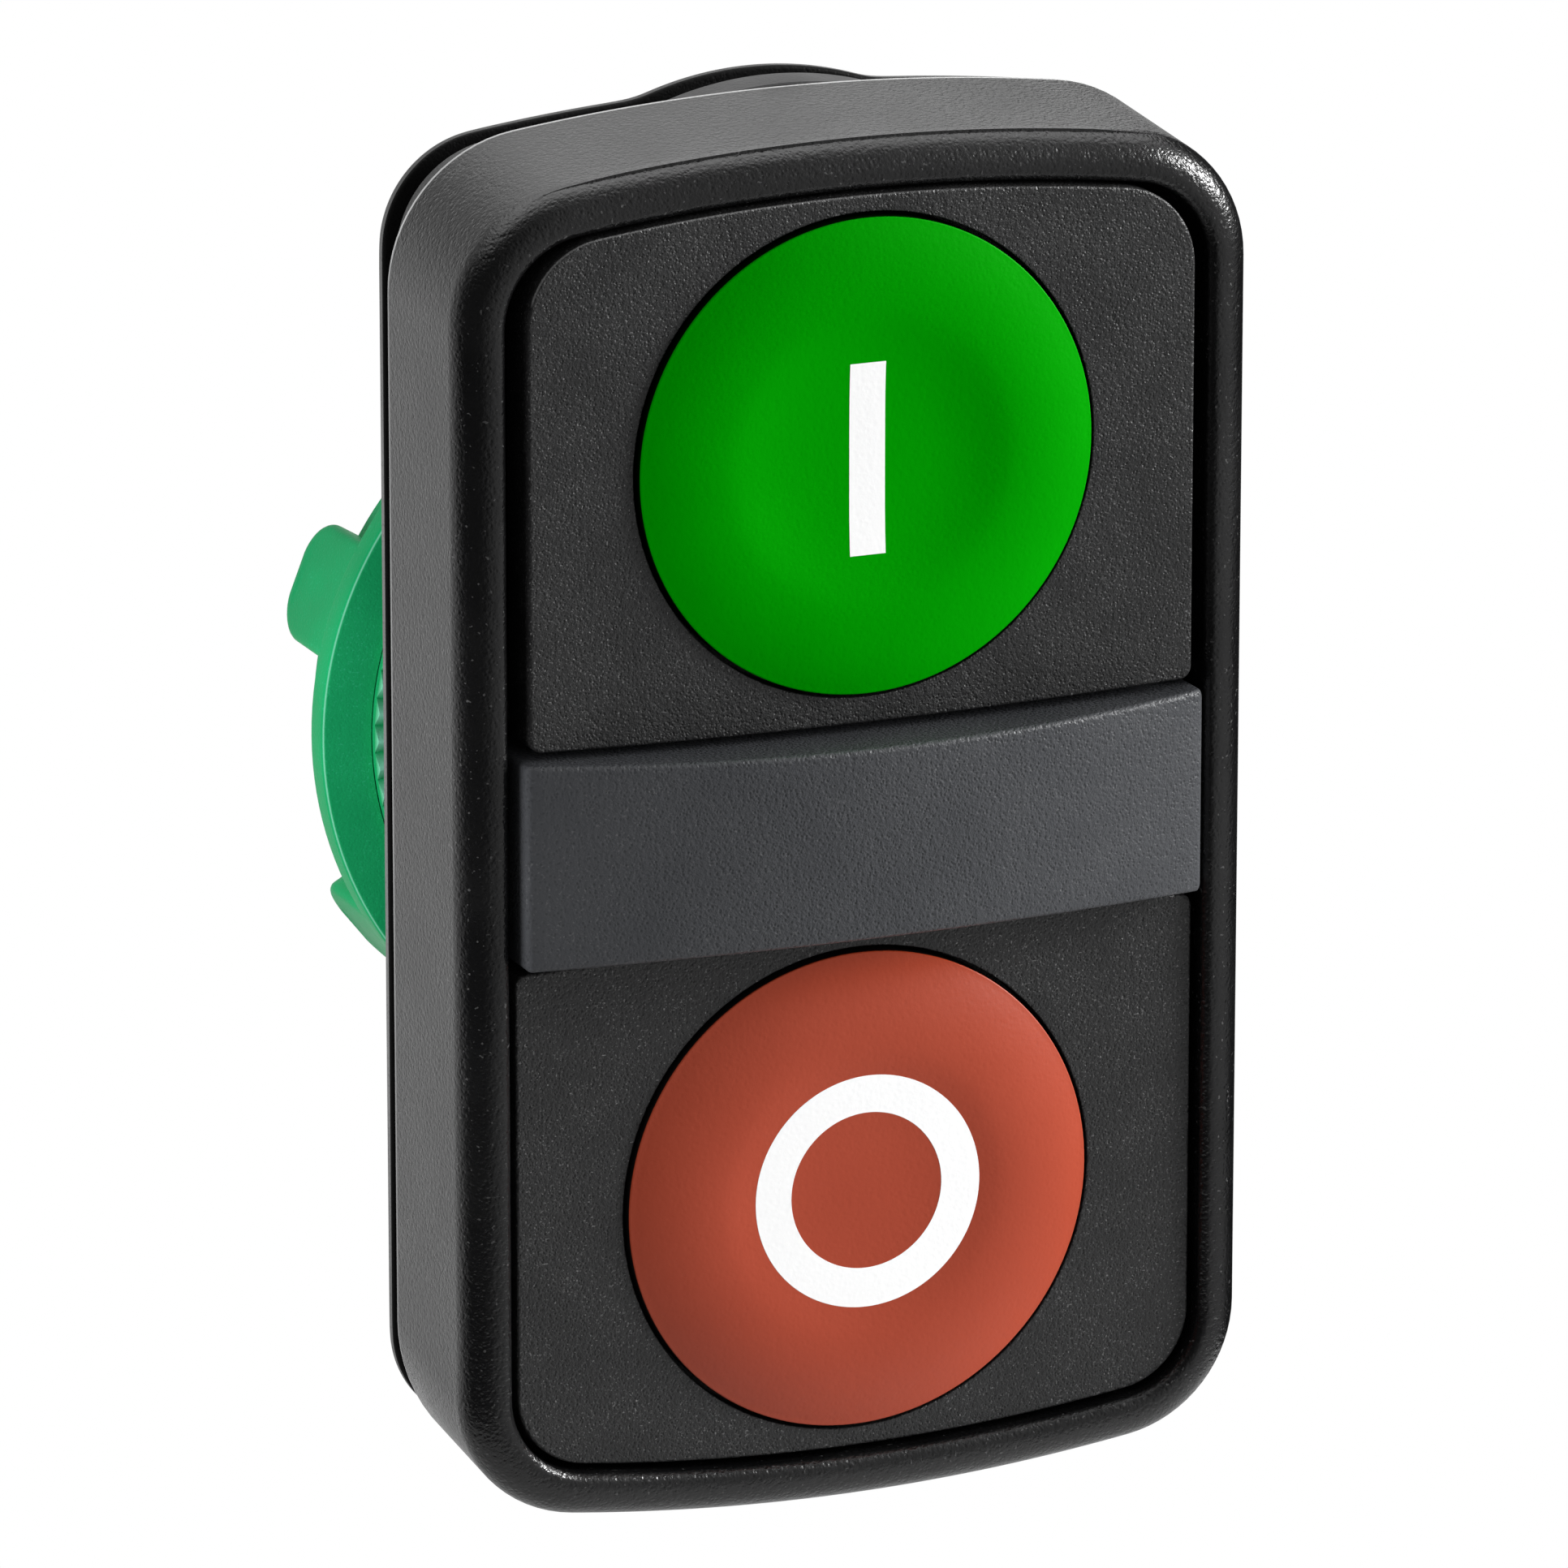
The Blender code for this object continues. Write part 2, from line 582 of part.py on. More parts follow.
def bar_mark(grow):
    """The start button's upright bar."""
    x = BAR_WIDTH / 2 + grow
    y = BAR_HEIGHT / 2 + grow
    return [rectangle((-x, -y), (x, y))]


def ring_mark(grow):
    """The stop button's ring."""
    return [
        circle((0.0, 0.0), RING_OUTER + grow, ROUND_STEPS),
        circle((0.0, 0.0), RING_INNER - grow, ROUND_STEPS),
    ]


def make_button(name, side, front, side_gap, end_gap, stem, mark, colour):
    """A plate with its coloured cap, the white mark set in the cap, and the plunger behind."""
    centre = (0.0, side * BUTTON_CENTRE)
    axis = empty(f"{name}_axis", bpy.data.objects["head"], (*centre, 0.0))
    back = front - PLATE_THICKNESS
    plate = extruded(f"{name}_plate", [plate_outline(side, side_gap, end_gap)], back, front)
    hole = CAP_RADIUS + CAP_GAP
    seat = front - CAP_SEAT
    boss_hole = CAP_BOSS_RADIUS + RUNNING_GAP
    past_front = front + PLATE_THICKNESS
    past_back = back - PLATE_THICKNESS
    recess = [(0.0, past_front), (hole, past_front), (hole, seat), (boss_hole, seat)]
    recess += [(boss_hole, past_back), (0.0, past_back)]
    socket_radius = PLUNGER_RADIUS + SEAT_GAP
    socket = cylinder(f"{name}_socket", socket_radius, past_back, back + PLUNGER_SOCKET, stem, SMALL_STEPS)
    cut(plate, turned(f"{name}_recess", recess, ROUND_STEPS, centre), socket)
    piece(plate, (0.036, 0.036, 0.038), 0.6, axis)

    profile = cap_profile(front + CAP_STAND, seat + SEAT_GAP, back)
    cap = turned(f"{name}_cap", profile, ROUND_STEPS, centre)
    floor = front + CAP_STAND + CAP_CREST_RISE - CAP_DISH_DEPTH - MARK_DEPTH
    pocket = extruded(f"{name}_mark_pocket", mark(MARK_GAP), floor - MARK_GAP, past_front)
    inlay = extruded(f"{name}_mark", mark(0.0), floor, past_front)
    for part in (pocket, inlay):
        part.data.transform(Matrix.Translation((*centre, 0.0)))
    combine(inlay, turned(f"{name}_mark_trim", profile, ROUND_STEPS, centre), "INTERSECT")
    cut(cap, pocket)
    piece(cap, colour, 0.42, axis)
    piece(inlay, (0.86, 0.86, 0.86), 0.45, axis)

    top = back + PLUNGER_SOCKET - SEAT_GAP
    tip = PLUNGER_SHORT - BARREL_LENGTH
    nose = PLUNGER_RADIUS / 2
    rod = [(0.0, top), (PLUNGER_RADIUS, top), (PLUNGER_RADIUS, tip + nose), (nose, tip), (0.0, tip)]
    piece(turned(f"{name}_plunger", rod, SMALL_STEPS, stem), (0.55, 0.55, 0.53), 0.5, axis)
    grip = PLUNGER_RADIUS + SEAT_GAP
    collar_high = COLLAR_THICKNESS - COLLAR_BACK
    collar = ring(f"{name}_spring_collar", grip, COLLAR_RADIUS, -COLLAR_BACK, collar_high, stem)
    piece(collar, (0.45, 0.45, 0.44), 0.35, axis)


def make_stem_seal(name, stem):
    """Rubber ring in the back plate that wipes the plunger."""
    high = BACK_PLATE_FRONT - SEAT_GAP / 2
    low = high - STEM_SEAL_THICKNESS
    seal = ring(f"{name}_stem_seal", STEM_HOLE_RADIUS, STEM_SEAL_RADIUS, low, high, stem)
    piece(seal, (0.02, 0.02, 0.02), 0.8)


def make_spring(name, stem):
    """Return spring on the plunger, one unbroken wire from the collar back to the guide."""
    wire = SPRING_WIRE / 2
    high = -COLLAR_BACK - wire - SEAT_GAP
    low = -GUIDE_FRONT + wire + SEAT_GAP
    count = SPRING_TURNS * CURL_POINTS
    curve = bpy.data.curves.new(f"{name}_spring", "CURVE")
    curve.dimensions = "3D"
    curve.bevel_depth = wire
    curve.bevel_resolution = 1
    curve.use_fill_caps = True
    spline = curve.splines.new("POLY")
    spline.points.add(count)
    path = []
    for i in range(count + 1):
        turn = math.tau * i / CURL_POINTS
        x = stem[0] + SPRING_RADIUS * math.cos(turn)
        y = stem[1] + SPRING_RADIUS * math.sin(turn)
        path.append(Vector((x, y, high + (low - high) * i / count)))
        spline.points[i].co = (*path[i], 1.0)
    pairs = [(i, j) for i in range(count + 1) for j in range(i + CURL_POINTS - 2, count + 1)]
    least = min((path[i] - path[j]).length for i, j in pairs) - SPRING_WIRE
    print(f"{name}_spring: least gap between turns {least / MM:.2f} mm")
    mesh = settled(bpy.data.objects.new(f"{name}_spring", curve))
    piece(shape(f"{name}_spring", mesh), (0.62, 0.62, 0.60), 0.3)


def make_plunger_guide():
    """Disc on the barrel's inner ledge that the plungers slide in and the springs push against."""
    outlines = [circle((0.0, 0.0), LEDGE_RADIUS - RUNNING_GAP, ROUND_STEPS)]
    outlines += [circle(stem, STEM_HOLE_RADIUS, SMALL_STEPS) for stem in (start_stem, stop_stem)]
    guide = extruded("plunger_guide", outlines, -GUIDE_FRONT - GUIDE_THICKNESS, -GUIDE_FRONT)
    piece(guide, (0.05, 0.05, 0.052), 0.55)


def make_lock_ring(axis):
    """Ring of radial teeth that bites the panel. A tab in the barrel's keyway stops it turning."""
    tips = RING_STAND - NUT_FRONT
    roots = tips - TOOTH_HEIGHT
    back = -NUT_FRONT - RING_DEPTH
    points = 2 * TOOTH_COUNT
    inner = circle((0.0, 0.0), NUT_BORE, points)
    outer = circle((0.0, 0.0), RING_RADIUS, points)
    saw = [roots, tips] * TOOTH_COUNT
    toothed = [[(x, y, z) for (x, y), z in zip(rim, saw)] for rim in (inner, outer)]
    loops = [toothed[0], toothed[1], at_height(outer, back), at_height(inner, back)]
    lock_ring = lofted_ring("lock_ring", loops)
    tab_x = KEYWAY_WIDTH / 2 - RUNNING_GAP
    tab_floor = BARREL_RADIUS - KEYWAY_DEPTH + RUNNING_GAP
    tab_high = roots - SEAT_GAP
    tab_low = back + SEAT_GAP
    tab_root = NUT_BORE + RING_WIDTH / 2
    join(lock_ring, block("ring_tab", (-tab_x, -tab_root, tab_low), (tab_x, -tab_floor, tab_high)))
    piece(lock_ring, (0.016, 0.30, 0.105), 0.4, axis)


def make_fixing_nut(axis):
    """Ring nut with a thin rim, a hub for the thread and round-ended lugs that point backwards."""
    front = -NUT_FRONT
    rim_back = front - NUT_RIM
    hub_back = front - NUT_LENGTH
    recess = RING_RADIUS + RUNNING_GAP
    recess_floor = front - RING_DEPTH - SEAT_GAP
    edge = NUT_RADIUS - NUT_CHAMFER
    profile = [
        (recess, front),
        (edge, front),
        (NUT_RADIUS, front - NUT_CHAMFER),
        (NUT_RADIUS, rim_back + NUT_CHAMFER),
        (edge, rim_back),
        (NUT_HUB_RADIUS, rim_back),
        (NUT_HUB_RADIUS, hub_back),
        (NUT_BORE, hub_back),
        (NUT_BORE, recess_floor),
        (recess, recess_floor),
    ]
    nut = turned("fixing_nut", profile, ROUND_STEPS, closed=True)
    half = LUG_WIDTH / 2
    root = (recess_floor + rim_back) / 2
    tip = rim_back - LUG_LENGTH
    left = arc((LUG_ROUND - half, tip + LUG_ROUND), LUG_ROUND, math.pi, 1.5 * math.pi, CORNER_STEPS)
    right = arc((half - LUG_ROUND, tip + LUG_ROUND), LUG_ROUND, 1.5 * math.pi, math.tau, CORNER_STEPS)
    face = [(-half, root)] + left + right + [(half, root)]
    outside = math.sqrt(NUT_RADIUS**2 - half**2)
    for i in range(LUG_COUNT):
        lug = extruded(f"nut_lug_{i + 1}", [face], NUT_HUB_RADIUS - LUG_ROOT, outside)
        stand = Matrix(((0, 0, 1, 0), (1, 0, 0, 0), (0, 1, 0, 0), (0, 0, 0, 1)))
        turn = math.radians(LUG_FIRST_ANGLE + 360.0 * i / LUG_COUNT)
        lug.data.transform(Matrix.Rotation(turn, 4, "Z") @ stand)
        join(nut, lug)
    piece(nut, (0.016, 0.30, 0.105), 0.4, axis)


clear_scene()
head = empty("head")
head.rotation_euler = (math.pi / 2, 0.0, 0.0)
stem_turn = math.radians(PLUNGER_ANGLE)
stop_stem = (PLUNGER_REACH * math.cos(stem_turn), -PLUNGER_REACH * math.sin(stem_turn))
start_stem = (-stop_stem[0], -stop_stem[1])

make_front_housing()
make_rear_body()
make_panel_seal()
make_centre_strip()
start_front = HOUSING_FRONT + START_STAND
stop_front = HOUSING_FRONT + STOP_STAND
green = (0.0, 0.27, 0.0)
red = (0.46, 0.085, 0.05)
make_button("start", 1, start_front, START_SIDE_GAP, START_END_GAP, start_stem, bar_mark, green)
make_button("stop", -1, stop_front, STOP_SIDE_GAP, STOP_END_GAP, stop_stem, ring_mark, red)
for button, stem_place in (("start", start_stem), ("stop", stop_stem)):
    make_stem_seal(button, stem_place)
    make_spring(button, stem_place)
make_plunger_guide()
nut_axis = empty("nut_axis", head, (0.0, 0.0, -NUT_FRONT))
make_lock_ring(nut_axis)
make_fixing_nut(nut_axis)
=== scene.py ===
# %% [markdown]
# # Start and stop push-button head
# This is the head of an industrial double push button for a 22 mm panel hole: a black moulded housing,
# two sprung plates with a green and a red cap, a grey strip between them, and a barrel with a green
# ring nut that clamps the head to the panel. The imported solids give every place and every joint. The
# lesson rebuilds each piece that shows with finer form, mixes a finish for each material and sets up
# the light and the camera.

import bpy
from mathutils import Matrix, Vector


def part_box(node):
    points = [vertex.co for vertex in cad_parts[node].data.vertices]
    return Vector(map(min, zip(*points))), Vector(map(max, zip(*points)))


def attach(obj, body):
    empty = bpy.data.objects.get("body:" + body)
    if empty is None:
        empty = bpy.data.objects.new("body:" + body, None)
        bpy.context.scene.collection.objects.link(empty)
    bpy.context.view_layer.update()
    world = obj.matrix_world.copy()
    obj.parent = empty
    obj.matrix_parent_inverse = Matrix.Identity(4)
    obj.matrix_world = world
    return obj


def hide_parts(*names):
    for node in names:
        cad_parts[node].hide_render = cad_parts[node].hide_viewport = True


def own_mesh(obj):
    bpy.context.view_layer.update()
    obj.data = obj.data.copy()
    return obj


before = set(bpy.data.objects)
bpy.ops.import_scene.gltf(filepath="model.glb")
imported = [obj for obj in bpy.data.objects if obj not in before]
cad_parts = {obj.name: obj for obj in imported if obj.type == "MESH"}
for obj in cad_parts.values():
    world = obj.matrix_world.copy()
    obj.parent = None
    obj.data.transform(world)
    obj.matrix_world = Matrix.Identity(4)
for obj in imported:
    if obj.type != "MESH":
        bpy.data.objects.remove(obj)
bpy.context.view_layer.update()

# %% [markdown]
# ## Measures
# The head is drawn lying on its back, with x to the right, y up the face and z out of the panel,
# because most of its outlines are flat drawings with a thickness. Each finished mesh is then stood up,
# so that the front looks along -Y. The sizes below are those of the solids, apart from a slightly wider
# rim, and the box of the housing shows that they agree.

# %% Sizes shared by the pieces
import math

import bmesh
import bpy
from mathutils import Matrix, Vector

MM = 0.001
STAND_UP = Matrix.Rotation(math.pi / 2, 4, "X")

HOUSING_HALF_WIDTH = 15.0 * MM
HOUSING_TOP = 24.65 * MM
HOUSING_BOTTOM = -25.15 * MM
HOUSING_BACK = 3.32 * MM
HOUSING_FRONT = 10.25 * MM
HOUSING_BOW = 79.0 * MM
HOUSING_CORNER = 4.85 * MM
RIM_WIDTH = 1.73 * MM
SIDE_DRAFT = 0.05 * MM
TOP_DRAFT = 0.58 * MM
BOTTOM_DRAFT = 0.2 * MM
REAR_TOP_CORNER = 5.4 * MM
REAR_BOTTOM_CORNER = 6.4 * MM
low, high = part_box("front_housing")
gap = max(abs(high.x - HOUSING_HALF_WIDTH - SIDE_DRAFT), abs(high.z - HOUSING_TOP - TOP_DRAFT))
housing_size = f"{1000 * (high.x - low.x):.2f} x {1000 * (high.z - low.z):.2f} mm"
print(f"housing {housing_size}, drawn to {1000 * gap:.3f} mm")

# %% [markdown]
# ## Small helpers for drawing
# Three ways of making a mesh cover nearly every piece here: joining rows of points into a skin, turning
# a half section round an axis, and cutting one mesh with another. Making them in code, rather than from
# ready-made cylinders and cubes, lets every edge carry its own small round, and those rounds are what
# catch the light.

# %% Curves
CORNER_STEPS = 16
CROWN_STEPS = 40


def arc(centre, radius, start, end, steps):
    turns = [start + (end - start) * i / steps for i in range(steps + 1)]
    return [(centre[0] + radius * math.cos(t), centre[1] + radius * math.sin(t)) for t in turns]


def circle(centre, radius, steps):
    return arc(centre, radius, 0.0, math.tau, steps)[:-1]


def bowed_end(half_width, crown, bow, corner):
    """Round corner, bowed crown and round corner, from right to left."""
    bow_centre = crown - bow
    corner_x = half_width - corner
    corner_y = bow_centre + math.sqrt((bow - corner) ** 2 - corner_x**2)
    meet = math.atan2(corner_y - bow_centre, corner_x)
    right = arc((corner_x, corner_y), corner, 0.0, meet, CORNER_STEPS)
    across = arc((0.0, bow_centre), bow, meet, math.pi - meet, CROWN_STEPS)[1:-1]
    return right + across + [(-x, y) for x, y in reversed(right)]


def housing_outline(inset, share=0.0):
    """The housing drawn in by inset. The share is 0 at the rim and 1 at the rear edge."""
    bow = HOUSING_BOW - inset
    half_width = HOUSING_HALF_WIDTH - inset + share * SIDE_DRAFT
    top_corner = HOUSING_CORNER + share * (REAR_TOP_CORNER - HOUSING_CORNER) - inset
    bottom_corner = HOUSING_CORNER + share * (REAR_BOTTOM_CORNER - HOUSING_CORNER) - inset
    top = bowed_end(half_width, HOUSING_TOP - inset + share * TOP_DRAFT, bow, top_corner)
    bottom = bowed_end(half_width, -HOUSING_BOTTOM - inset + share * BOTTOM_DRAFT, bow, bottom_corner)
    return top + [(-x, -y) for x, y in bottom]


def filled_in(outline, longest):
    """The same outline with points added, so that none of its sides is longer than this."""
    points = []
    for (x0, y0), (x1, y1) in zip(outline, outline[1:] + outline[:1]):
        count = max(1, math.ceil(math.hypot(x1 - x0, y1 - y0) / longest))
        points += [(x0 + (x1 - x0) * i / count, y0 + (y1 - y0) * i / count) for i in range(count)]
    return points


def drawn_in(outline, distance):
    """The outline, which runs anticlockwise, moved inwards along its own normals."""
    points = []
    for before, here, after in zip(outline[-1:] + outline[:-1], outline, outline[1:] + outline[:1]):
        along = Vector((after[0] - before[0], after[1] - before[1])).normalized()
        points.append((here[0] - along.y * distance, here[1] + along.x * distance))
    return points


def at_height(points, z):
    return [(x, y, z) for x, y in points]


print("outline of the housing:", len(housing_outline(0.0)), "points")


# %% Meshes
def new_mesh(bm, name):
    bmesh.ops.remove_doubles(bm, verts=bm.verts, dist=0.0005 * MM)
    bmesh.ops.recalc_face_normals(bm, faces=bm.faces)
    mesh = bpy.data.meshes.new(name)
    bm.to_mesh(mesh)
    bm.free()
    return mesh


def mark_painted_light(rows, painted_rows, painted_light):
    """Stores each row's painted highlight or painted shade, from 0 to 1, for the finishes. Unlisted rows
    take none.
    """
    for number, amount in painted_rows.items():
        for vertex in rows[number]:
            vertex[painted_light] = amount(vertex.co) if callable(amount) else amount


def skin(name, rows, ring=False, painted_rows={}):
    """Closed rows of points, each joined to the next. A ring joins its ends; else they are capped."""
    bm = bmesh.new()
    painted_light = bm.verts.layers.float.new("edge_wear")
    made = [[bm.verts.new(point) for point in row] for row in rows]
    mark_painted_light(made, painted_rows, painted_light)
    following = made[1:] + made[:1] if ring else made[1:]
    for row, nxt in zip(made, following):
        for i in range(len(row)):
            bm.faces.new((row[i - 1], row[i], nxt[i], nxt[i - 1]))
    if not ring:
        bm.faces.new(made[0])
        bm.faces.new(made[-1])
    return new_mesh(bm, name)


def turned(name, profile, steps, centre=(0.0, 0.0), ring=False, painted_rows={}):
    """A half section of (radius, height) points turned round an axis. Points on the axis become poles."""
    bm = bmesh.new()
    painted_light = bm.verts.layers.float.new("edge_wear")
    rows = []
    for radius, height in profile:
        if radius > 0:
            rows.append([bm.verts.new(p) for p in at_height(circle(centre, radius, steps), height)])
        else:
            rows.append([bm.verts.new((*centre, height))] * steps)
    mark_painted_light(rows, painted_rows, painted_light)
    for row, nxt in zip(rows, rows[1:] + rows[:1] if ring else rows[1:]):
        for i in range(steps):
            corners = list(dict.fromkeys((row[i - 1], row[i], nxt[i], nxt[i - 1])))
            if len(corners) > 2:
                bm.faces.new(corners)
    return new_mesh(bm, name)


def block(name, low, high):
    rows = [[(low[0], low[1]), (high[0], low[1]), (high[0], high[1]), (low[0], high[1])]]
    return skin(name, [at_height(rows[0], low[2]), at_height(rows[0], high[2])])


def settled(obj):
    """The plain mesh that an object with modifiers comes to. The object goes."""
    bpy.context.scene.collection.objects.link(obj)
    graph = bpy.context.evaluated_depsgraph_get()
    mesh = bpy.data.meshes.new_from_object(obj.evaluated_get(graph))
    bpy.data.objects.remove(obj)
    return mesh


def cut(mesh, *cutters, operation="DIFFERENCE"):
    """The mesh with the cutters taken out of it."""
    obj = bpy.data.objects.new(mesh.name, mesh)
    tools = []
    for cutter in cutters:
        tool = bpy.data.objects.new(cutter.name, cutter)
        bpy.context.scene.collection.objects.link(tool)
        modifier = obj.modifiers.new(cutter.name, "BOOLEAN")
        modifier.operation = operation
        modifier.solver = "EXACT"
        modifier.object = tool
        tools.append(tool)
    result = settled(obj)
    for tool in tools:
        bpy.data.objects.remove(tool)
    return result


def joined(name, *meshes):
    """Several meshes as one."""
    bm = bmesh.new()
    for mesh in meshes:
        bm.from_mesh(mesh)
    together = bpy.data.meshes.new(name)
    bm.to_mesh(together)
    bm.free()
    return together


print("three ways to make a mesh: skin, turned, cut")

# %% [markdown]
# ## Grain, dust and painted glints
# Moulded plastic is never one flat tone. The tool that formed these pieces was spark-eroded, so their
# faces have a fine pebbled grain with pits; where a pit's edge faces the light, the glint is painted
# into the colour as light flecks.
# Handling leaves soft patches that are a little shinier. Both could be painted as pictures, but node
# groups stay sharp at any distance, and one group can serve every material with its own grain size.

# %% Shader groups
def group_sockets(tree, inputs, outputs):
    for label, kind, value in inputs:
        socket = tree.interface.new_socket(label, in_out="INPUT", socket_type=kind)
        if value is not None:
            socket.default_value = value
    for label in outputs:
        tree.interface.new_socket(label, in_out="OUTPUT", socket_type="NodeSocketFloat")
    return tree.nodes.new("NodeGroupInput"), tree.nodes.new("NodeGroupOutput")


def math_node(tree, operation, *values):
    node = tree.nodes.new("ShaderNodeMath")
    node.operation = operation
    for socket, value in zip(node.inputs, values):
        if isinstance(value, (int, float)):
            socket.default_value = value
        else:
            tree.links.new(value, socket)
    return node.outputs[0]


def spread(tree, value, low, high):
    """Maps low..high to 0..1, clamped."""
    node = tree.nodes.new("ShaderNodeMapRange")
    node.interpolation_type = "SMOOTHSTEP"
    node.inputs["From Min"].default_value = low
    node.inputs["From Max"].default_value = high
    tree.links.new(value, node.inputs["Value"])
    return node.outputs["Result"]


def noise(tree, vector, scale, detail=2.0, roughness=0.5):
    node = tree.nodes.new("ShaderNodeTexNoise")
    node.inputs["Detail"].default_value = detail
    node.inputs["Roughness"].default_value = roughness
    tree.links.new(vector, node.inputs["Vector"])
    tree.links.new(scale, node.inputs["Scale"])
    return node.outputs["Fac"]


grain_group = bpy.data.node_groups.new("spark-eroded grain", "ShaderNodeTree")
inside, outside = group_sockets(
    grain_group,
    [("Vector", "NodeSocketVector", None), ("Grain Size", "NodeSocketFloat", 0.0002)],
    ["Height", "Pits", "Sparkle"],
)
per_metre = math_node(grain_group, "DIVIDE", 1.0, inside.outputs["Grain Size"])
pebbles = noise(grain_group, inside.outputs["Vector"], per_metre, 3.0, 0.6)
cells = grain_group.nodes.new("ShaderNodeTexVoronoi")
grain_group.links.new(inside.outputs["Vector"], cells.inputs["Vector"])
grain_group.links.new(per_metre, cells.inputs["Scale"])
pits = spread(grain_group, cells.outputs["Distance"], 0.45, 0.1)
fine = noise(grain_group, inside.outputs["Vector"], math_node(grain_group, "MULTIPLY", per_metre, 1.7), 1.0)
painted_glint = spread(grain_group, fine, 0.62, 0.74)
height = math_node(grain_group, "MULTIPLY_ADD", pits, -0.35, pebbles)
grain_group.links.new(height, outside.inputs["Height"])
grain_group.links.new(pits, outside.inputs["Pits"])
grain_group.links.new(painted_glint, outside.inputs["Sparkle"])

handling_group = bpy.data.node_groups.new("handling patches", "ShaderNodeTree")
inside, outside = group_sockets(
    handling_group,
    [("Vector", "NodeSocketVector", None), ("Patch Size", "NodeSocketFloat", 0.004)],
    ["Patches", "Dust"],
)
per_metre = math_node(handling_group, "DIVIDE", 1.0, inside.outputs["Patch Size"])
handled_at = inside.outputs["Vector"]
patches = spread(handling_group, noise(handling_group, handled_at, per_metre, 4.0), 0.35, 0.65)
mote_scale = math_node(handling_group, "MULTIPLY", per_metre, 30.0)
motes = noise(handling_group, handled_at, mote_scale, 0.0)
handling_group.links.new(patches, outside.inputs["Patches"])
handling_group.links.new(spread(handling_group, motes, 0.76, 0.82), outside.inputs["Dust"])
print("groups:", grain_group.name, "and", handling_group.name)

# %% [markdown]
# ## Finishes
# Each material starts from its own colour in a darker and a lighter tone. Handling patches move between
# the two and change the gloss, painted shade darkens the pits, painted glints and dust lighten, and the
# grain drives a bump. Marked rows mix in one more colour as a painted highlight or painted shade. The
# black pieces are nearly without colour of their own: what is seen on them is mostly the room mirrored
# by their skin, as on the real plastic, so their gloss matters more than their paint.

# %% Mixing a finish
def colour_mix(tree, factor, first, second):
    node = tree.nodes.new("ShaderNodeMix")
    node.data_type = "RGBA"
    tree.links.new(factor, node.inputs["Factor"])
    for socket, value in ((node.inputs["A"], first), (node.inputs["B"], second)):
        if isinstance(value, tuple):
            socket.default_value = (*value, 1.0)
        else:
            tree.links.new(value, socket)
    return node.outputs["Result"]


def finish(
    name, shade, tone, grain, bump, gloss, painted_glint=None, dust=None, painted_light=None,
    patch=4.0, pit_shading=0.5, **constants
):
    """A grained material. grain and patch are sizes in mm, gloss the roughness from patch to patch."""
    material = bpy.data.materials.new(name)
    material.use_nodes = True
    tree = material.node_tree
    shader = tree.nodes["Principled BSDF"]
    place = tree.nodes.new("ShaderNodeTexCoord").outputs["Object"]
    grains = tree.nodes.new("ShaderNodeGroup")
    grains.node_tree = grain_group
    grains.inputs["Grain Size"].default_value = grain * MM
    hands = tree.nodes.new("ShaderNodeGroup")
    hands.node_tree = handling_group
    hands.inputs["Patch Size"].default_value = patch * MM
    for group in (grains, hands):
        tree.links.new(place, group.inputs["Vector"])
    colour = colour_mix(tree, hands.outputs["Patches"], shade, tone)
    # Painted shade: the pits are darkened in the colour.
    dark = tuple(0.6 * channel for channel in shade)
    colour = colour_mix(tree, math_node(tree, "MULTIPLY", grains.outputs["Pits"], pit_shading), colour, dark)
    # Painted glints: light flecks where the grain's glint noise peaks, thicker in the handling patches.
    if painted_glint:
        clustered = math_node(tree, "MULTIPLY_ADD", hands.outputs["Patches"], 0.75, 0.25)
        clustered = math_node(tree, "MULTIPLY", grains.outputs["Sparkle"], clustered)
        colour = colour_mix(tree, clustered, colour, painted_glint)
    if dust:
        colour = colour_mix(tree, hands.outputs["Dust"], colour, dust)
    # Painted light: marked rows take this colour as a painted highlight or painted shade.
    if painted_light:
        painted_mask = tree.nodes.new("ShaderNodeAttribute")
        painted_mask.attribute_name = "edge_wear"
        colour = colour_mix(tree, painted_mask.outputs["Fac"], colour, painted_light)
    tree.links.new(colour, shader.inputs["Base Color"])
    rough = math_node(tree, "MULTIPLY_ADD", hands.outputs["Patches"], gloss[1] - gloss[0], gloss[0])
    tree.links.new(rough, shader.inputs["Roughness"])
    relief = tree.nodes.new("ShaderNodeBump")
    relief.inputs["Strength"].default_value = bump
    relief.inputs["Distance"].default_value = grain * MM
    tree.links.new(grains.outputs["Height"], relief.inputs["Height"])
    tree.links.new(relief.outputs["Normal"], shader.inputs["Normal"])
    for label, value in constants.items():
        shader.inputs[label.replace("_", " ")].default_value = value
    return material


# The last colour given to a finish is painted light on marked rows: a painted highlight on the housing's
# rear edge, the start plate's top edge, the nut's rim edge and the ring's teeth, and painted shade on the
# seal's front face and the caps' side walls.
housing_black = finish(
    "satin black housing", (0.0030, 0.0030, 0.0032), (0.0048, 0.0048, 0.0050), 0.2, 0.22, (0.23, 0.28),
    dust=(0.05, 0.05, 0.05), painted_light=(0.85, 0.85, 0.85),
)
body_black = finish(
    "black barrel body", (0.010, 0.010, 0.0105), (0.015, 0.015, 0.0155), 0.2, 0.15, (0.42, 0.52)
)
seal_rubber = finish(
    "dusty seal rubber", (0.14, 0.14, 0.14), (0.18, 0.18, 0.18), 0.15, 0.2, (0.5, 0.6),
    painted_light=(0.004, 0.004, 0.004), Specular_IOR_Level=0.1,
)
